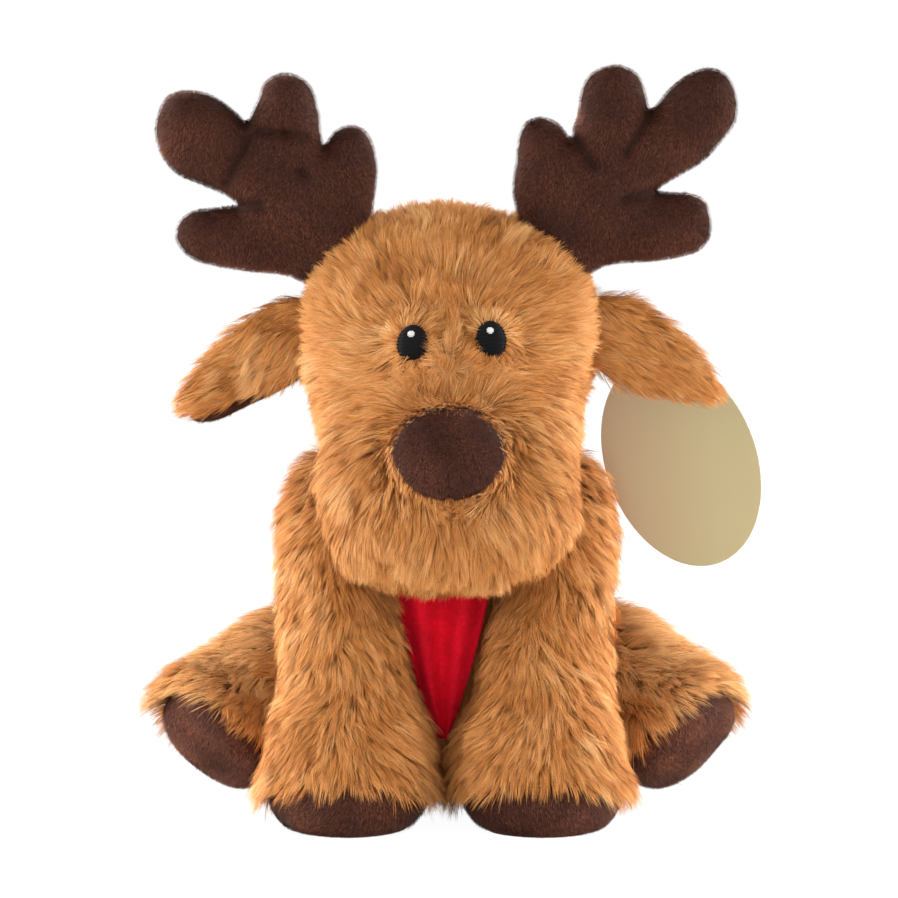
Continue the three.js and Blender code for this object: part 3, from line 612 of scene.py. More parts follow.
# Stuffed forms
def mirrored(triple, side):
    return np.asarray(triple, float) * np.array([side, 1, 1])


def body_skin():
    return lofted(BODY_SHARES, BODY_SIZE[:2], scale=BODY_SIZE)


def head_skin():
    return lofted(HEAD_SHARES, HEAD_SIZE[:2], origin=HEAD_CORNER, scale=HEAD_SIZE, sides=72, length=64)


def front_leg_skin(side):
    size = FRONT_LEG_SIZE
    lean = FRONT_LEG_LEANS[side]
    rows = [(x + lean * (1 - z), y, z, wide, deep) for x, y, z, wide, deep in FRONT_LEG_SHARES]
    return lofted(rows, size[:2], X_AXIS, mirrored(FRONT_LEG_FOOT, side), mirrored(size, side))


def rear_leg_skin(side):
    size = REAR_LEG_SIZE
    return lofted(REAR_LEG_SHARES, size[2], Z_AXIS, mirrored(REAR_LEG_HIP, side), mirrored(size, side))


def ear_frame(side):
    droop = EAR_DROOPS[side]
    outward = np.array([side * math.cos(droop), 0, -math.sin(droop)])
    across = np.array([side * math.sin(droop), 0, math.cos(droop)])
    face = np.array([0, -math.cos(EAR_TILT), math.sin(EAR_TILT)])
    return outward, unit(across - face * (across @ face)), face


def ear_skin(side, width_share, thickness, sunk):
    outward, across, face = ear_frame(side)
    thin = thickness / EAR_WIDTH / 2
    table = np.array([(along, sag, 0, wide, thin if wide else 0) for along, sag, wide in EAR_SHARES], float)
    centres = (mirrored(EAR_ROOT, side) + np.outer(table[:, 0] * EAR_LENGTH, outward)
               + np.outer(-table[:, 1] * EAR_LENGTH, [0, 0, 1]) - face * sunk)
    table[:, :3] = centres
    table[:, 3] *= width_share
    return lofted(table, EAR_WIDTH, across, sides=40, length=36)


def tail_skin():
    along = unit(TAIL_TIP - TAIL_ROOT)
    rows = [(-1, 0), (-0.7, 0.7), (0, 1), (0.5, 0.96), (1, 0.8), (1.5, 0.45), (1.7, 0)]
    reach = np.linalg.norm(TAIL_TIP - TAIL_ROOT)
    table = [(*(TAIL_ROOT + along * share * reach * 0.66), wide, wide) for share, wide in rows]
    return lofted(table, TAIL_RADIUS, sides=28, length=26)


def neck_skin():
    table = []
    for angle in np.linspace(0, math.pi, 9):
        place = NECK_CENTRE - np.array([0, 0, math.cos(angle) * NECK_RADIUS])
        table.append((*place, math.sin(angle), math.sin(angle)))
    table[0] = (*table[0][:3], 0, 0)
    table[-1] = (*table[-1][:3], 0, 0)
    return lofted(table, NECK_RADIUS, sides=32, length=24)


def oval_share(points, x, z, width, height):
    """1 on the edge of the oval seen from the front, less inside it."""
    return np.hypot((points[:, 0] - x) / (width / 2), (points[:, 2] - z) / (height / 2))


def nose_share(points):
    return oval_share(points, 0, NOSE_Z, NOSE_WIDTH, NOSE_HEIGHT)


def near_patches(points):
    """1 on the nose and the eyes, 0 away from them."""
    front = smooth(FACE_Y, FACE_FULL_Y, points[:, 1])
    share = smooth(1.25, 1.0, nose_share(points))
    for x, z in EYES.values():
        eye = oval_share(points, x, z, EYE_WIDTH, EYE_HEIGHT)
        share = np.maximum(share, 0.75 * smooth(2.2, 1.0, eye))
    return share * front


def bare_of_patches(points):
    """0 under the nose and the eyes, where no fur grows, and 1 elsewhere."""
    share = smooth(0.98, 1.05, nose_share(points))
    for x, z in EYES.values():
        share = share * smooth(0.85, 1.05, oval_share(points, x, z, EYE_WIDTH, EYE_HEIGHT))
    return np.where(points[:, 1] < FACE_Y, share, 1)


def lumpy(skin, inset, seed, rests=False):
    """The skin drawn in by the depth of its fur, a little uneven as stuffing is."""
    amounts = -inset + SKIN_LUMP * waves(skin.points, LUMP_SIZE, seed)
    if rests:
        amounts = amounts * smooth(0, LUMPS_FROM_FLOOR, skin.points[:, 2])
    return skin.moved(amounts)


def skins():
    made = {}
    head = head_skin()
    inset = SKIN_INSET * (1 - near_patches(head.points))
    made["head"] = head.moved(-inset + HEAD_LUMP * waves(head.points, HEAD_LUMP_SIZE, 3))
    made["body"] = on_floor(lumpy(on_floor(body_skin()), SKIN_INSET, 5, True))
    for name, side in SIDES.items():
        front = on_floor(front_leg_skin(side))
        made[f"front_leg_{name}"] = on_floor(lumpy(front, SKIN_INSET, 7 + side, True))
        rear = on_floor(rear_leg_skin(side))
        place, normal = seam_plane("rear_leg", side)
        inset = SKIN_INSET * (1 - 0.65 * smooth(*ANKLE, (rear.points - place) @ normal))
        made[f"rear_leg_{name}"] = on_floor(lumpy(rear, inset, 17 + side, True))
        made[f"ear_{name}"] = lumpy(ear_skin(side, 0.84, EAR_THICKNESS, 0), 0, 23 + side)
    made["tail"] = tail_skin()
    made["neck"] = neck_skin()
    return made


def buried(points, trees, depth):
    """True where a point lies that deep inside one of the skins."""
    hidden = np.zeros(len(points), bool)
    for tree in trees:
        for index, place in enumerate(points):
            if hidden[index]:
                continue
            found, normal, _, distance = tree.find_nearest(Vector(place))
            if found is not None and distance > depth and (Vector(place) - found).dot(normal) < 0:
                hidden[index] = True
    return hidden


def under_others(skin, name, trees):
    """True where the piece lies deep inside another one, the neck left out."""
    return buried(skin.points, [trees[k] for k in trees if k not in (name, "neck")], BURIED_DEPTH)


# Fur
def combed_head(points, normals):
    out = points - FACE_CENTRE
    nose = points - np.array([0, FACE_CENTRE[1], NOSE_Z])
    close = smooth(*NOSE_COMB, np.hypot(nose[:, 0], nose[:, 2]))
    close = close * smooth(CHEEK_Y, FACE_FULL_Y, points[:, 1])
    flow = unit(out) * (1 - close[:, None]) + unit(nose) * close[:, None]
    for x, z in EYES.values():
        away = (points - np.array([x, 0, z])) * np.array([1, 0, 1])
        near = smooth(*EYE_COMB, np.linalg.norm(away, axis=1))[:, None]
        near = near * (points[:, 1:2] < FACE_Y)
        flow = flow * (1 - near) + unit(away) * near
    behind = smooth(CHEEK_Y, NAPE_Y, points[:, 1])
    return flow + np.outer(behind, [0, 0.2, -1.3])


def combed_down(points, normals):
    return np.tile([0, 0, -1.0], (len(points), 1)) + normals * 0.05


def combed_front_leg(side):
    foot = mirrored(FRONT_LEG_FOOT, side)

    def comb(points, normals):
        out = points - (foot + FLARE_CENTRE)
        flare = smooth(*FLARE, points[:, 2])[:, None]
        outward = unit(out * np.array([1, 1, 0.9]))
        down = np.array([side * 0.12, -0.1, -1.0])
        return (1 - flare) * down + flare * (outward + np.array([0, 0, -0.35]))

    return comb


def combed_rear_leg(side):
    toe, ahead = seam_plane("rear_leg", side)
    flow = unit(ahead + mirrored([0.25, 0.3, 0], side))

    def comb(points, normals):
        out = points - toe
        out = unit(out - np.outer(out @ ahead, ahead))
        rim = smooth(*SOLE_RIM, -(points - toe) @ ahead)[:, None]
        return flow + out * 0.3 * rim

    return comb


def combed_ear(side):
    flow = ear_frame(side)[0] + np.array([0, 0, -0.04])
    return lambda points, normals: np.tile(flow, (len(points), 1))


def combed_tail(points, normals):
    return np.tile(unit(TAIL_TIP - TAIL_ROOT), (len(points), 1)) + np.array([0, 0, -0.15])


def sampled(skin, weights, density, rng):
    """Roots spread over the skin, thicker where the weights say so."""
    wanted = skin.areas * density * weights[skin.tris].mean(axis=1)
    count = int(wanted.sum())
    face = rng.choice(len(wanted), size=count, p=wanted / wanted.sum())
    u, v = rng.random((2, count))
    over = u + v > 1
    u[over], v[over] = 1 - u[over], 1 - v[over]
    share = np.stack([1 - u - v, u, v], axis=1)[:, :, None]
    corners = skin.tris[face]
    return (skin.points[corners] * share).sum(axis=1), unit((skin.normals[corners] * share).sum(axis=1))


def grouped(points, size, seed):
    """Numbers the groups that points fall into, blocks of that size with wavy borders."""
    bent = points + 0.45 * size * np.stack([waves(points, size * 1.7, seed + k) for k in range(3)], axis=1)
    cells = np.floor(bent / size).astype(np.int64)
    keys = cells @ np.array([73856093, 19349663, 83492791])
    return np.unique(keys, return_inverse=True)[1].ravel()


def means(groups, values):
    counts = np.bincount(groups)
    flat = values.reshape(len(values), -1)
    sums = np.stack([np.bincount(groups, flat[:, k]) for k in range(flat.shape[1])], axis=1)
    return (sums / counts[:, None])[groups].reshape(values.shape)


def strands(roots, normals, comb, lengths, lift, rng):
    """Centre lines of the strands, four points each, drawn together into locks and tufts."""
    seed = int(rng.integers(1000))
    tufts = grouped(roots, TUFT_SIZE, seed)
    locks = grouped(roots, LOCK_SIZE, seed + 50)
    tuft_turn = rng.normal(size=(tufts.max() + 1, 3))[tufts]
    lock_turn = rng.normal(size=(locks.max() + 1, 3))[locks]
    tuft_tone = rng.normal(size=tufts.max() + 1)[tufts]
    flow = laid(comb(roots, normals), normals)
    flow = flow + 0.22 * tuft_turn + 0.15 * lock_turn + 0.10 * rng.normal(size=roots.shape)
    flow = laid(flow, normals)
    reach = lengths * (1 + 0.13 * tuft_tone) * rng.uniform(0.7, 1.15, len(roots))
    rise = (lift + 0.10 * lock_turn[:, :1] + 0.05 * rng.normal(size=(len(roots), 1))).clip(0.12, 0.9)
    start = unit(normals * rise + flow * (1 - rise))
    finish = unit(flow + normals * (rise * 0.35) + np.array([0, 0, -0.16]))
    lines = [roots]
    for share in (0.17, 0.5, 0.83):
        heading = unit(start * (1 - share) + finish * share)
        lines.append(lines[-1] + heading * (reach / 3)[:, None])
    lines = np.stack(lines, axis=1)
    draw = np.array([0, 0.09, 0.26, 0.44])[None, :, None]
    lines = lines + draw * (means(locks, lines) - lines)
    tone = 0.5 + 0.10 * tuft_tone + 0.07 * lock_turn[:, 1] + 0.13 * rng.normal(size=len(roots))
    return lines, tone.clip(*TONE_RANGE)


def strand_mesh(name, lines, normals, tone, rng):
    """Flat tapering strands, two quads and a pointed end each, laid on the fur's own map."""
    count = len(lines)
    along = unit(lines[:, 1:] - lines[:, :-1])
    along = np.concatenate([along[:, :1], along], axis=1)
    turn = rng.normal(0, 0.5, count)[:, None, None]
    flat = unit(np.cross(along, normals[:, None, :]))
    side = flat * np.cos(turn) + np.cross(along, flat) * np.sin(turn)
    taper = np.array([0.9, 1.0, 0.7, 0])[None, :, None]
    half = FUR_WIDTH / 2 * rng.uniform(0.75, 1.25, count)[:, None, None] * taper
    left = lines - side * half
    right = lines + side * half
    pairs = [edge[:, k] for k in range(3) for edge in (left, right)]
    points = np.stack([*pairs, lines[:, 3]], axis=1)
    points[:, :, 2] = np.maximum(points[:, :, 2], FLOOR_GAP)
    up = np.array([0.02, 0.02, 0.34, 0.34, 0.68, 0.68, 0.98])
    sideways = np.array([-1, 1, -1, 1, -1, 1, 0]) * 0.012
    # Shorter strands start higher up the map and take less of the painted shade at the root.
    share = (np.linalg.norm(lines[:, 3] - lines[:, 0], axis=1) / FUR_LENGTH).clip(0, 1)[:, None]
    chart = np.stack([tone[:, None] + sideways, 1 - (1 - up) * share], axis=2)
    facing = unit(normals[:, None, :] - along * np.einsum("ik,ijk->ij", normals, along)[:, :, None] * 0.6)
    facing = facing + side * rng.normal(0, 0.22, (count, 1, 1))
    soft = unit(facing)[:, [0, 0, 1, 1, 2, 2, 3]]
    return pile_mesh(name, points, [(0, 1, 3, 2), (2, 3, 5, 4), (4, 5, 6)], chart, soft, FUR)


def pile_mesh(name, points, faces, chart, normals, material):
    """One mesh of many strands that share their faces' pattern."""
    count, corners = points.shape[:2]
    pattern = np.concatenate(faces)
    ends = np.cumsum([0] + [len(face) for face in faces])
    index = (np.arange(count)[:, None] * corners + pattern).ravel()
    starts = (np.arange(count)[:, None] * len(pattern) + ends[:-1]).ravel()
    mesh = bpy.data.meshes.new(name)
    mesh.vertices.add(count * corners)
    mesh.vertices.foreach_set("co", points.ravel())
    mesh.loops.add(count * len(pattern))
    mesh.loops.foreach_set("vertex_index", index.astype(np.int32))
    mesh.polygons.add(count * len(faces))
    mesh.polygons.foreach_set("loop_start", starts.astype(np.int32))
    mesh.update(calc_edges=True)
    uv = mesh.uv_layers.new(name="OFBake")
    uv.uv.foreach_set("vector", chart[:, pattern].reshape(-1).astype(np.float32))
    attribute = mesh.attributes.new("custom_normal", "FLOAT_VECTOR", "POINT")
    attribute.data.foreach_set("vector", normals.reshape(-1).astype(np.float32))
    mesh.materials.append(material)
    return in_scene(name, mesh)


def nap(name, skin, body, slot, material, weights, flow=(0, -0.1, -1), tone_shift=0, length=NAP_LENGTH,
        seed=0):
    """Short pile: straight fibres, leaning one way and brushed about here and there."""
    rng = np.random.default_rng(SEED + seed)
    roots, normals = sampled(skin, weights, NAP_DENSITY, rng)
    brushed = np.stack([waves(roots, BRUSHED_SIZE, seed + k) for k in (1, 2, 3)], axis=1)
    lean = np.array(flow) + 0.35 * brushed + 0.28 * rng.normal(size=roots.shape)
    heading = unit(laid(lean, normals) * 0.8 + normals * rng.uniform(0.4, 0.8, (len(roots), 1)))
    tips = roots + heading * (length * rng.uniform(0.65, 1.15, (len(roots), 1)))
    side = unit(np.cross(heading, normals)) * NAP_WIDTH / 2
    points = np.stack([roots - side, roots + side, tips], axis=1)
    points[:, :, 2] = np.maximum(points[:, :, 2], FLOOR_GAP / 2)
    shift = tone_shift(roots) if callable(tone_shift) else tone_shift
    patches = waves(roots, TONE_SIZE, seed + 9)
    tone = 0.44 + 0.2 * rng.normal(size=len(roots)) + 0.08 * patches + shift
    # Each fibre runs from 0.1 at the root to 0.95 at the tip, up the painted root shade of its pile
    # material.
    chart = np.stack([tone.clip(*TONE_RANGE)[:, None] + np.array([-0.01, 0.01, 0]),
                      np.tile([0.1, 0.1, 0.95], (len(roots), 1))], axis=2)
    soft = unit(normals + 0.3 * rng.normal(size=roots.shape))[:, None].repeat(3, axis=1)
    placed(pile_mesh(f"{name}_nap", points, [(0, 1, 2)], chart, soft, material), body, slot)


def grow(name, skin, body, comb, weights, length, lift=0.5, density=FUR_DENSITY, seed=0, pale=0):
    """Fur on the skin, in pieces that stack from the floor up. Returns how many strands it has."""
    rng = np.random.default_rng(SEED + seed)
    roots, normals = sampled(skin, weights, density, rng)
    lengths = length(roots) if callable(length) else np.full(len(roots), length)
    lines, tone = strands(roots, normals, comb, lengths, lift, rng)
    tone = (tone + pale).clip(*TONE_RANGE)
    order = np.argsort(roots[:, 2], kind="stable")
    pieces = max(1, math.ceil(len(roots) / STRANDS_PER_PIECE))
    for number, part in enumerate(np.array_split(order, pieces), 1):
        made = strand_mesh(f"{name}_fur_{number}", lines[part], normals[part], tone[part], rng)
        placed(made, body, "fur")
    return len(roots)


def seam_plane(name, side):
    if name.startswith("front"):
        normal = np.array([0, -math.sin(FRONT_SEAM_TILT), -math.cos(FRONT_SEAM_TILT)])
        return mirrored(FRONT_LEG_FOOT, side) + np.array([0, 0, FRONT_SEAM_HEIGHT]), normal
    toe, ankle = (np.array(REAR_LEG_SHARES[k][:3]) * REAR_LEG_SIZE for k in (0, 3))
    ahead = unit(mirrored(toe - ankle, side))
    return mirrored(REAR_LEG_HIP + toe, side) - ahead * REAR_SEAM_DEPTH, ahead


def sole_piece(name, skin, place, normal):
    """The part of a leg's skin past its seam, closed, with the seam drawn in."""
    made = skin.cloth(f"{name}_sole_cloth", VELBOA_NAP)
    shape = bmesh.new()
    shape.from_mesh(made.data)
    cut = bmesh.ops.bisect_plane(shape, geom=shape.verts[:] + shape.edges[:] + shape.faces[:],
                                 plane_co=Vector(place), plane_no=Vector(normal), clear_inner=True)
    rim = [e for e in cut["geom_cut"] if isinstance(e, bmesh.types.BMEdge)]
    bmesh.ops.contextual_create(shape, geom=rim)
    for face in shape.faces:
        face.smooth = True
    shape.to_mesh(made.data)
    shape.free()
    count = len(made.data.vertices)
    points = np.empty(count * 3)
    made.data.vertices.foreach_get("co", points)
    points = points.reshape(-1, 3)
    past = (points - place) @ normal
    drawn = SEAM_DRAW * np.exp(-past / SEAM_DRAW_REACH)
    centre = points.mean(axis=0)
    inward = unit(centre - points)
    inward[:, 2] = np.where(points[:, 2] < MM, 0, inward[:, 2])
    points = points + inward * drawn[:, None]
    made.data.vertices.foreach_set("co", points.ravel())
    made.data.update()
    return made


def dress_leg(kind, name, side, comb, made, trees):
    leg = f"{kind}_{name}"
    skin = made[leg]
    height = skin.points[:, 2]
    place, normal = seam_plane(kind, side)
    past = (skin.points - place) @ normal
    under_sole = skin.moved(-UNDER_SOLE_DEPTH * smooth(-SEAM_EDGE, SEAM_EDGE / 3, past))
    cloth = under_sole.cloth(f"{leg}_skin", SHADED_BACKING)
    placed(cloth, leg, "fur", f"{leg}_cover", f"{leg}_stuffing")
    sole = sole_piece(leg, skin, place, normal)
    placed(sole, leg, "velboa", f"{leg}_sole")
    cap = Skin([v.co for v in sole.data.vertices], [tuple(f.vertices) for f in sole.data.polygons])
    shown = ((cap.points - place) @ normal > SOLE_FROM) & (cap.points[:, 2] > SOLE_FROM)
    nap(f"{leg}_sole", cap, leg, "velboa", VELBOA_PILE, shown.astype(float),
        (side * 0.4, -0.4, -1), 0.1, seed=91 + side)
    weights = smooth(-SEAM_EDGE / 3, -SEAM_EDGE, past) * smooth(*LEG_FUR_FLOOR, height)
    weights *= ~under_others(skin, leg, trees)
    under = (skin.normals[:, 2] < -0.55) & (height < UNDERSIDE_HEIGHT)
    weights = np.where(under, weights * 0.35, weights)
    if kind == "rear_leg":
        weights *= 1 - smooth(*REAR_BARE, -past) * smooth(0.1, -0.25, skin.normals[:, 2])
    weights = weights * (0.5 + 0.5 * smooth(*LEG_FUR_THIN, height))
    # The rear legs' fur is shifted towards the pale tone: painted light, for the light from behind and
    # above that falls on them.
    lift, pale, share = (0.5, 0, 1.05) if kind == "front_leg" else (0.62, 0.3, 1.2)
    return grow(leg, skin, leg, comb, weights, FUR_LENGTH * share, lift, seed=31 + side, pale=pale)


def dress_legs(made, trees):
    total = 0
    for name, side in SIDES.items():
        total += dress_leg("front_leg", name, side, combed_front_leg(side), made, trees)
        total += dress_leg("rear_leg", name, side, combed_rear_leg(side), made, trees)
    return total


def dress_trunk(made, trees):
    total = 0
    for name, body, comb, nodes, lift in (
        ("body", "body", combed_down, ("body_cover", "body_stuffing", "pellet_pouch"), 0.5),
        ("head", "head", combed_head, ("head_cover", "head_stuffing"), 0.52),
        ("tail", "tail", combed_tail, ("tail",), 0.5),
    ):
        skin = made[name]
        if name == "body":
            tied = smooth(BAND_HEIGHT, BAND_HEIGHT * 0.4, abs(above_band(skin.points)))
            skin = skin.moved(-BAND_PINCH * tied)
        cloth = skin.cloth(f"{name}_skin", SHADED_BACKING)
        placed(cloth, body, "fur", *nodes)
        weights = np.ones(len(skin.points)) * ~under_others(skin, name, trees)
        length = FUR_LENGTH
        if name == "body":
            weights *= smooth(*BODY_FUR_FLOOR, skin.points[:, 2])
            above = above_band(skin.points)
            weights *= smooth(BAND_HEIGHT * 0.35, BAND_HEIGHT * 0.5, abs(above))
            weights[(skin.points[:, 1] < CHEST_Y) & (above > CHEST_BELOW_BAND)] = 0
            length = body_lengths
        if name == "head":
            weights *= bare_of_patches(skin.points)
            length = head_lengths
        pale = 0.2 if name == "tail" else 0
        total += grow(name, skin, body, comb, weights, length, lift, seed=len(name), pale=pale)
    neck = made["neck"]
    cloth = neck.cloth("neck_skin", SHADED_BACKING)
    placed(cloth, "neck", "fur", "neck")
    hidden = buried(neck.points, [trees["head"], trees["body"]], NECK_BURIED_DEPTH)
    weights = np.ones(len(neck.points)) * ~hidden
    return total + grow("neck", neck, "neck", combed_down, weights, FUR_LENGTH * 0.8, seed=3)


def above_band(points):
    """How far the points lie above the middle of the bandana's band, along its axis."""
    return (points - BAND_CENTRE) @ np.array([0, -math.sin(BAND_TILT), math.cos(BAND_TILT)])


def body_lengths(roots):
    above = above_band(roots)
    regrown = 0.3 + 0.7 * smooth(BAND_HEIGHT * 0.5, BAND_HEIGHT * 1.6, above)
    return FUR_LENGTH * np.where(above > 0, regrown, 1)


def head_lengths(roots):
    return FUR_LENGTH * (1 - 0.62 * smooth(0, 0.8, near_patches(roots)))


def dress_ears(made, trees):
    total = 0
    for name, side in SIDES.items():
        ear = f"ear_{name}"
        skin = made[ear]
        cloth = skin.cloth(f"{ear}_skin", SHADED_BACKING)
        placed(cloth, ear, "fur", f"{ear}_fur")
        lining = ear_skin(side, 0.80, LINING_THICKNESS, LINING_SUNK)
        outward, _, face = ear_frame(side)
        reach = (lining.points - mirrored(EAR_ROOT, side)) @ outward
        lining.points[:, 2] -= LINING_DROPS[side] * (1 + smooth(0.5, 0.95, reach / EAR_LENGTH))
        leaf = lining.cloth(f"{ear}_lining_cloth", VELBOA_NAP)
        placed(leaf, ear, "velboa", f"{ear}_lining")
        nap(f"{ear}_lining", lining, ear, "velboa", VELBOA_PILE, smooth(0.3, 0, lining.normals @ face),
            outward, seed=101 + side)
        weights = smooth(-0.5, 0.1, skin.normals @ face)
        weights = weights * ~buried(skin.points, [trees["head"]], EAR_BURIED_DEPTH)
        total += grow(ear, skin, ear, combed_ear(side), weights, FUR_LENGTH * 0.85, 0.42, FUR_DENSITY * 1.1,
                      seed=47 + side)
    return total


# Face
def onto(tree, x, z):
    found, normal, _, _ = tree.ray_cast(Vector((x, RAY_START_Y, z)), Vector((0, 1, 0)))
    return np.array(found), np.array(normal)


def nose_piece(tree):
    """An oval velboa patch, padded, with a short seam and a notch at its lower edge."""
    rings, sides = 16, 72
    points = []
    for ring in range(rings + 1):
        share = max(ring / rings, 0.001) * 1.03
        for step in range(sides):
            angle = 2 * math.pi * step / sides
            across = math.cos(angle) * (1 + 0.12 * math.sin(angle))
            up = math.sin(angle)
            notch = 1 - 0.09 * math.exp(-((angle - 1.5 * math.pi) / 0.07) ** 2)
            notch -= 0.03 * math.exp(-((angle - 0.5 * math.pi) / 0.06) ** 2)
            x = across * share * notch * NOSE_WIDTH / 2
            z = up * share * notch * NOSE_HEIGHT / 2
            height = NOSE_BULGE * math.sqrt(max(0, 1 - (share / 1.03) ** 2.4))
            height += NOSE_TIP * math.exp(-(x ** 2 + (z - NOSE_TIP_Z) ** 2) / NOSE_TIP_SIZE ** 2)
            height -= NOSE_TIP * math.exp(-(x / NOSE_SEAM_WIDTH) ** 2) * float(smooth(*NOSE_SEAM_Z, z))
            if share > 1:
                height -= NOSE_HEM
            place, _ = onto(tree, x, NOSE_Z + z)
            points.append(place + np.array([0, -height, 0]))
    faces = grid_faces(rings, sides, True)
    made = mesh_object("nose_cloth", points, faces, NOSE_NAP)
    placed(made, "head", "nose", "nose_patch")
    dome = Skin(points, faces)
    if dome.normals[:, 1].mean() > 0:
        dome = turned(dome)
    nap("nose", dome, "head", "nose", VELBOA_PILE, smooth(1.02, 0.96, nose_share(dome.points)), (0, 0, -1),
        length=NAP_LENGTH * 0.8, seed=3)


def thread_rows(place, across, up, normal, width, height, bulge, pitch):
    """Satin stitches side by side over a low dome."""
    points, faces = [], []
    rows = int(height / pitch)
    sides, steps = 6, 12
    for row in range(rows):
        v = (row + 0.5) / rows * 2 - 1
        reach = math.sqrt(1 - v * v) * width / 2 * (1 + 0.05 * math.sin(row * 2.4))
        start = len(points)
        for step in range(steps + 1):
            u = step / steps * 2 - 1
            dome = bulge * math.sqrt(max(0, 1 - (u * 0.96) ** 2 * (1 - v * v) - v * v * 0.95))
            centre = place + across * u * reach + up * v * height / 2 + normal * dome
            for side in range(sides):
                angle = 2 * math.pi * side / sides
                ring = up * math.cos(angle) * 0.62 + normal * math.sin(angle) * 0.5
                points.append(centre + ring * pitch)
        faces += grid_faces(steps, sides, True, start)
        faces.append(tuple(range(start, start + sides)))
        faces.append(tuple(range(start + steps * sides, start + (steps + 1) * sides))[::-1])
    return points, faces


def eye_pieces(tree):
    for name, (x, z) in EYES.items():
        place, normal = onto(tree, x, z)
        normal = unit(normal * np.array([0.6, 1, 0.6]))
        across = unit(np.cross([0, 0, 1.0], normal)) * -1
        up = unit(np.cross(across, normal)) * -1
        if up[2] < 0:
            up = -up
        glint_place = place + up * GLINT_RISE + normal * (EYE_BULGE * 0.85) + GLINT_SHIFT
        for part, middle, sizes, material, slot in (
            ("eye", place, EYE_SIZES, THREAD, "thread"),
            ("eye_glint", glint_place, GLINT_SIZES, WHITE_THREAD, "white_thread"),
        ):
            points, faces = thread_rows(middle, across, up, normal, *sizes)
            stitches = mesh_object(f"{part}_{name}_stitches", points, faces, material)
            placed(stitches, "head", slot, f"{part}_{name}")


# Antlers
def inside(outline, points):
    """True where a point of the plane lies inside the closed outline."""
    ahead = np.roll(outline, -1, axis=0)
    x, z = points[:, :1], points[:, 1:]
    crossing = (outline[:, 1] > z) != (ahead[:, 1] > z)
    rise = np.where(ahead[:, 1] == outline[:, 1], 1, ahead[:, 1] - outline[:, 1])
    at = outline[:, 0] + (z - outline[:, 1]) / rise * (ahead[:, 0] - outline[:, 0])
    return (crossing & (x < at)).sum(axis=1) % 2 == 1


def to_segments(points, starts, ends):
    """Each point's distance to each segment."""
    run = ends - starts
    squares = np.maximum((run ** 2).sum(axis=1), 1e-12)
    share = np.einsum("ijk,jk->ij", points[:, None] - starts, run) / squares
    nearest = starts + np.clip(share, 0, 1)[:, :, None] * run
    return np.linalg.norm(points[:, None] - nearest, axis=2)


def to_edge(points, outline):
    """Each point's distance to each side of the closed outline."""
    return to_segments(points, outline, np.roll(outline, -1, axis=0))


def filled_outline(outline):
    """Points and triangles of the plane inside the outline, whose own points come first."""
    low, high = outline.min(axis=0), outline.max(axis=0)
    columns = np.arange(low[0], high[0], ANTLER_STEP)
    rows = np.arange(low[1], high[1], ANTLER_STEP * 0.866)
    grid = np.array([(x + (k % 2) * ANTLER_STEP / 2, z) for k, z in enumerate(rows) for x in columns])
    grid = grid[inside(outline, grid)]
    grid = grid[to_edge(grid, outline).min(axis=1) > ANTLER_STEP * 0.6]
    loop = [(k, (k + 1) % len(outline)) for k in range(len(outline))]
    made = delaunay_2d_cdt([Vector(p) for p in np.vstack([outline, grid])], loop, [], 1, 1e-7)
    return np.array([tuple(p) for p in made[0]]), made[2]


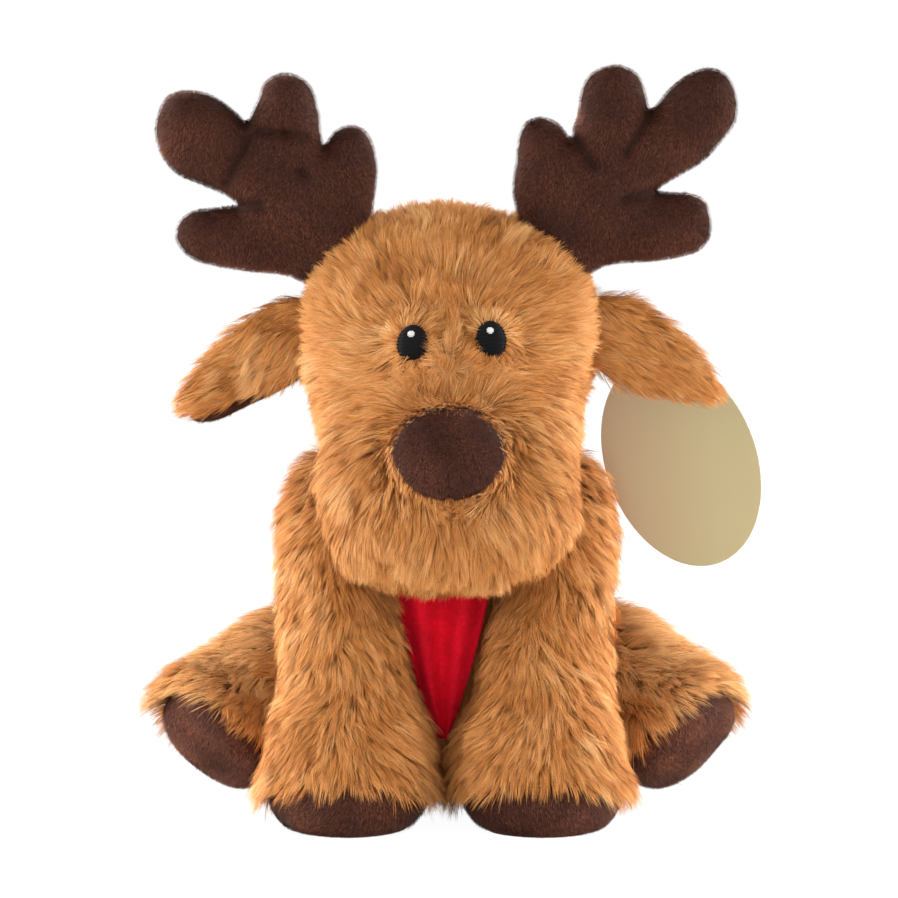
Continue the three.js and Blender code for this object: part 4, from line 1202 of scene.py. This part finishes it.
def antler_piece(name, side):
    """Two cloth panels seamed round the outline and filled until the tines are round."""
    outline = curve_through(np.array(ANTLER_OUTLINES[name]) * MM, 220, closed=True)
    count = len(outline)
    flat, tris = filled_outline(outline)
    distance = to_edge(flat, outline).min(axis=1)
    distance[:count] = 0
    filled = np.clip(distance / ANTLER_ROUNDING, 0, 1)
    half = ANTLER_HALF_THICKNESS * np.sqrt(1 - (1 - filled) ** 2)
    nearest = to_edge(flat, outline).argmin(axis=1)
    travel = np.concatenate([[0], np.linalg.norm(np.diff(outline, axis=0), axis=1).cumsum()])[nearest]
    pucker = np.sin(2 * math.pi * travel / PUCKER_PITCH + 1.5 * np.sin(travel / PUCKER_DRIFT))
    half = half - PUCKER_DEPTH * (1 + pucker) * np.exp(-distance / PUCKER_REACH) * (distance > 0)
    creases = np.array(ANTLER_CREASES[name]) * MM
    dent = np.exp(-(to_segments(flat, creases[:, :2], creases[:, 2:]) / CREASE_WIDTH) ** 2).sum(axis=1)
    spots = np.stack([flat[:, 0], np.zeros(len(flat)), flat[:, 1]], axis=1)
    lumps = [ANTLER_LUMP * waves(spots, ANTLER_LUMP_SIZE, seed + side) for seed in (61, 71)]
    front = np.maximum(half - CREASE_DEPTH * dent + lumps[0], ANTLER_LEAST)
    back = np.maximum(half - BACK_CREASE_DEPTH * dent + lumps[1], ANTLER_LEAST)
    front[:count] = back[:count] = 0
    points = np.vstack([
        np.stack([flat[:, 0], ANTLER_Y - front, flat[:, 1]], axis=1),
        np.stack([flat[count:, 0], ANTLER_Y + back[count:], flat[count:, 1]], axis=1),
    ])
    shift = len(flat) - count
    behind = [tuple(k if k < count else k + shift for k in reversed(t)) for t in tris]
    skin = facing_out(Skin(points, [tuple(t) for t in tris] + behind))
    cloth = skin.cloth(f"antler_{name}_cloth", VELBOA_NAP)
    smoother = cloth.modifiers.new("smooth", "SUBSURF")
    smoother.levels = smoother.render_levels = 1
    nodes = [f"antler_{name}_{part}" for part in ("front_panel", "back_panel", "stuffing")]
    placed(cloth, f"antler_{name}", "velboa", *nodes)

    # Nap tone: darker in the creases on the front, painted shade where the folds fall into shadow; lighter
    # towards the seam.
    def crease_shade_and_seam_tone(roots):
        spots = roots[:, [0, 2]]
        near = np.exp(-(to_segments(spots, creases[:, :2], creases[:, 2:]) / CREASE_WIDTH) ** 2).max(axis=1)
        seam = np.exp(-to_edge(spots, outline).min(axis=1) / SEAM_TONE_REACH)
        return -0.45 * near * (roots[:, 1] < ANTLER_Y) + 0.25 * seam

    nap(f"antler_{name}", skin, f"antler_{name}", "velboa", VELBOA_PILE, np.ones(len(skin.points)),
        (0, 0, -1), crease_shade_and_seam_tone, seed=81 + side)
    return skin


# Bandana
def thickened(cloth, offset):
    """Gives a sheet the thickness of the bandana's cloth, on its middle (0) or its inner side (-1)."""
    thick = cloth.modifiers.new("cloth", "SOLIDIFY")
    thick.thickness = CLOTH_THICKNESS
    thick.offset = offset


def point_sheet(name, width, shift, deep, nodes):
    """One layer of the hanging point, a cloth triangle with long soft folds."""
    rows, columns = 44, 32
    points = []
    for row in range(rows + 1):
        down = row / rows
        wide = width * (1 - 0.93 * down ** 1.35)
        for column in range(columns + 1):
            across = column / columns - 0.5
            fold = POINT_FOLD * math.cos(4 * math.pi * across) * (1 - down / 2)
            ripple = POINT_RIPPLE * math.sin(across * 17 + down * 5)
            ripple += POINT_SWAY * math.sin(down * 11 + 2 * across)
            x = POINT_TOP[0] + shift + across * wide + POINT_DRIFT * down
            y = POINT_TOP[1] - POINT_FOLD - POINT_LEAN * down + fold * 0.8 + ripple + deep
            points.append((x, y, POINT_TOP[2] - down * POINT_LENGTH))
    faces = grid_faces(rows, columns)
    made = mesh_object(name, points, faces, RED_NAP)
    thickened(made, 0)
    skin = Skin(points, faces)
    placed(made, "bandana_point", "bandana", *nodes)
    if nodes:
        ahead = skin if skin.normals[:, 1].mean() < 0 else turned(skin)
        nap(name, ahead, "bandana_point", "bandana", RED_PILE, np.ones(len(points)), length=CLOTH_NAP,
            seed=5)


def band_sheet():
    """The band round the neck, gathered into small folds."""
    steps, rows = 160, 14
    points = []
    turn = np.array(Matrix.Rotation(BAND_TILT, 3, "X"))
    for row in range(rows + 1):
        height = (row / rows - 0.5) * BAND_HEIGHT
        for step in range(steps):
            angle = 2 * math.pi * step / steps
            ripple = BAND_GATHER * math.sin(3 * math.pi * row / rows + 0.8 * math.sin(3 * angle))
            ripple += BAND_RIPPLE * math.sin(11 * angle + row * 0.3)
            radius = BAND_RADIUS + BAND_GAP + ripple
            place = np.array([radius * math.sin(angle), radius * math.cos(angle), height])
            points.append(BAND_CENTRE + turn @ place)
    faces = grid_faces(rows, steps, True)
    made = mesh_object("bandana_band_cloth", points, faces, RED_NAP)
    thickened(made, -1)
    skin = Skin(points, faces)
    placed(made, "body", "bandana", "bandana_band")
    if np.einsum("ij,ij->i", skin.normals, skin.points - BAND_CENTRE).mean() < 0:
        skin = turned(skin)
    nap("bandana_band", skin, "body", "bandana", RED_PILE, np.ones(len(points)), length=CLOTH_NAP, seed=6)


def knot_piece():
    """The knot behind the neck and its two short tails."""
    behind = np.array([0, math.cos(BAND_TILT), math.sin(BAND_TILT)])
    centre = BAND_CENTRE + behind * (BAND_RADIUS + KNOT_RADIUS + KNOT_GAP)
    rows = []
    for step in np.linspace(-1, 1, 11):
        round_share = math.sqrt(max(0, 1 - step * step))
        rows.append((*(centre + np.array([KNOT_RADIUS * 1.35 * step, 0, 0])), round_share, round_share))
    knot = lofted(rows, KNOT_RADIUS, Z_AXIS, sides=40, length=34)
    angle = np.arctan2(knot.points[:, 1] - centre[1], knot.points[:, 2] - centre[2])
    knot = knot.moved(KNOT_FOLD * np.sin(6 * angle + (knot.points[:, 0] - centre[0]) / KNOT_TWIST))
    points, faces = list(knot.points), list(knot.faces)
    for side in SIDES.values():
        start = len(points)
        rows_down, columns = 18, 10
        for row in range(rows_down + 1):
            down = row / rows_down
            middle = centre + np.array([side * KNOT_TAIL * 0.6, KNOT_RADIUS / 2, -KNOT_TAIL]) * down
            wide = KNOT_RADIUS * (0.45 + 0.75 * math.sin(math.pi * min(down * 1.1, 1) * 0.8))
            wide *= 1 - smooth(0.75, 1, down) * 0.8
            for column in range(columns + 1):
                u = column / columns * 2 - 1
                cupped = KNOT_TAIL_CUP * math.cos(2.6 * u) - KNOT_TAIL_SET
                points.append(middle + np.array([u * wide, cupped, u * wide * 0.25 * side]))
        faces += grid_faces(rows_down, columns, start=start)
    made = mesh_object("bandana_knot_cloth", points, faces, RED_NAP)
    thickened(made, -1)
    placed(made, "body", "bandana", "bandana_knot")


# Swing tag
def tag_piece():
    """An oval card with a punched hole and softened edges."""
    sides = 128
    angles = np.arange(sides) * 2 * math.pi / sides
    drop = TAG_LENGTH / 2 - TAG_HOLE_INSET
    half = TAG_THICKNESS / 2

    def ring(inset, depth):
        return np.stack([np.cos(angles) * (TAG_WIDTH / 2 - inset), np.full(sides, depth),
                         np.sin(angles) * (TAG_LENGTH / 2 - inset) - drop], axis=1)

    def hole(depth):
        return np.stack([np.cos(angles), np.full(sides, depth / TAG_HOLE_RADIUS), np.sin(angles)],
                        axis=1) * TAG_HOLE_RADIUS

    rings = [hole(-half), ring(TAG_BEVEL, -half), ring(0, -half + TAG_BEVEL), ring(0, half - TAG_BEVEL),
             ring(TAG_BEVEL, half), hole(half)]
    points = np.vstack(rings)
    points[:, 1] += TAG_BEND * np.sin(np.pi * (points[:, 2] + TAG_LENGTH) / TAG_LENGTH)
    count = len(points)
    faces = [tuple(k % count for k in face) for face in grid_faces(len(rings), sides, True)]
    lean = np.array(Matrix.Rotation(-TAG_LEAN, 3, "Y"))
    made = mesh_object("swing_tag_card", points @ lean.T + TAG_HOLE, faces, [CARD, CARD_EDGE], flat=True)
    for face in made.data.polygons:
        face.material_index = 0 if face.index // sides in (0, 4) else 1
    placed(made, "swing_tag", "card", "swing_tag")


# Stage, light and camera
def studio():
    corners = [(x * FLOOR_REACH, y * FLOOR_REACH, 0) for x, y in ((-1, -1), (1, -1), (1, 1), (-1, 1))]
    ground = mesh_object("studio_floor", corners, [(0, 1, 2, 3)], floor_material())
    world = bpy.data.worlds.new("studio")
    world.use_nodes = True
    tree = world.node_tree
    split = node(tree, "SeparateXYZ", node(tree, "TexCoord").outputs["Generated"])
    height = node(tree, "MapRange", split.outputs["Z"], 0, 1, WALL_LIGHT, CEILING_LIGHT)
    soft = set_inputs(tree.nodes["Background"], Color=(1, 1, 1, 1), Strength=height.outputs[0])
    bright = set_inputs(node(tree, "Background"), Color=(1, 1, 1, 1), Strength=1)
    mix = node(tree, "MixShader", seen_rays(tree), soft.outputs[0], bright.outputs[0])
    set_inputs(tree.nodes["World Output"], Surface=mix.outputs[0])
    bpy.context.scene.world = world
    for name, place, size, power in LAMPS:
        lamp = aimed_lamp(name, "AREA", power, place, LAMP_AIM)
        lamp.size = size
    for name, side in SIDES.items():
        place, aim = mirrored(KICKER_PLACE, side), mirrored(KICKER_AIM, side)
        lamp = aimed_lamp(f"{name}_kicker", "SPOT", KICKER_POWER, place, aim)
        lamp.spot_size = KICKER_CONE
        lamp.spot_blend = 1
        lamp.shadow_soft_size = KICKER_SOFTNESS


def aimed_lamp(name, kind, power, place, aim):
    lamp = bpy.data.lights.new(name, kind)
    lamp.energy = power
    made = in_scene(name, lamp)
    made.location = place
    made.rotation_euler = (Vector(aim) - Vector(place)).to_track_quat("-Z", "Y").to_euler()
    return lamp


def seen_rays(tree):
    """1 for rays that see the background: the camera's, and those that gloss and glass send."""
    path = node(tree, "LightPath")
    first = node(tree, "Math", path.outputs["Is Camera Ray"], path.outputs["Is Glossy Ray"],
                 operation="MAXIMUM")
    second = node(tree, "Math", first.outputs[0], path.outputs["Is Transmission Ray"],
                  operation="MAXIMUM")
    return second.outputs[0]


def floor_material():
    material, tree, shader = new_material("studio_floor")
    set_inputs(shader, Base_Color=(0.86, 0.86, 0.86, 1), Roughness=0.9, Specular_IOR_Level=0)
    glow = set_inputs(node(tree, "Emission"), Strength=1.1)
    amount = node(tree, "Math", seen_rays(tree), 0.88, operation="MULTIPLY")
    mix = node(tree, "MixShader", amount.outputs[0], shader.outputs[0], glow.outputs[0])
    set_inputs(tree.nodes["Material Output"], Surface=mix.outputs[0])
    return material


def camera():
    lens = bpy.data.cameras.new("camera")
    lens.lens = LENS
    lens.sensor_width = SENSOR
    made = in_scene("camera", lens)
    distance = FRAME_WIDTH * LENS / SENSOR
    back = np.array([0, -math.cos(CAMERA_ELEVATION), math.sin(CAMERA_ELEVATION)])
    made.location = CAMERA_TARGET + back * distance
    made.rotation_euler = Vector(-back).to_track_quat("-Z", "Y").to_euler()
    bpy.context.scene.camera = made


def main():
    camera()
    studio()
    made = skins()
    trees = {name: skin.tree() for name, skin in made.items() if not name.startswith("ear")}
    for name, side in SIDES.items():
        trees[f"antler_{name}"] = antler_piece(name, side).tree()
    nose_piece(trees["head"])
    eye_pieces(trees["head"])
    tag_piece()
    band_sheet()
    knot_piece()
    point_sheet("bandana_point_front", POINT_WIDTH, 0, 0, ["bandana_point"])
    point_sheet("bandana_point_back", POINT_WIDTH * 0.96, POINT_BACK_SHIFT, POINT_BACK_GAP, [])
    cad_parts["tag_fastener"].material_slots[0].material = PLASTIC
    total = dress_trunk(made, trees) + dress_legs(made, trees) + dress_ears(made, trees)
    print("strands", total)
    bpy.context.scene.view_settings.view_transform = "Standard"


main()
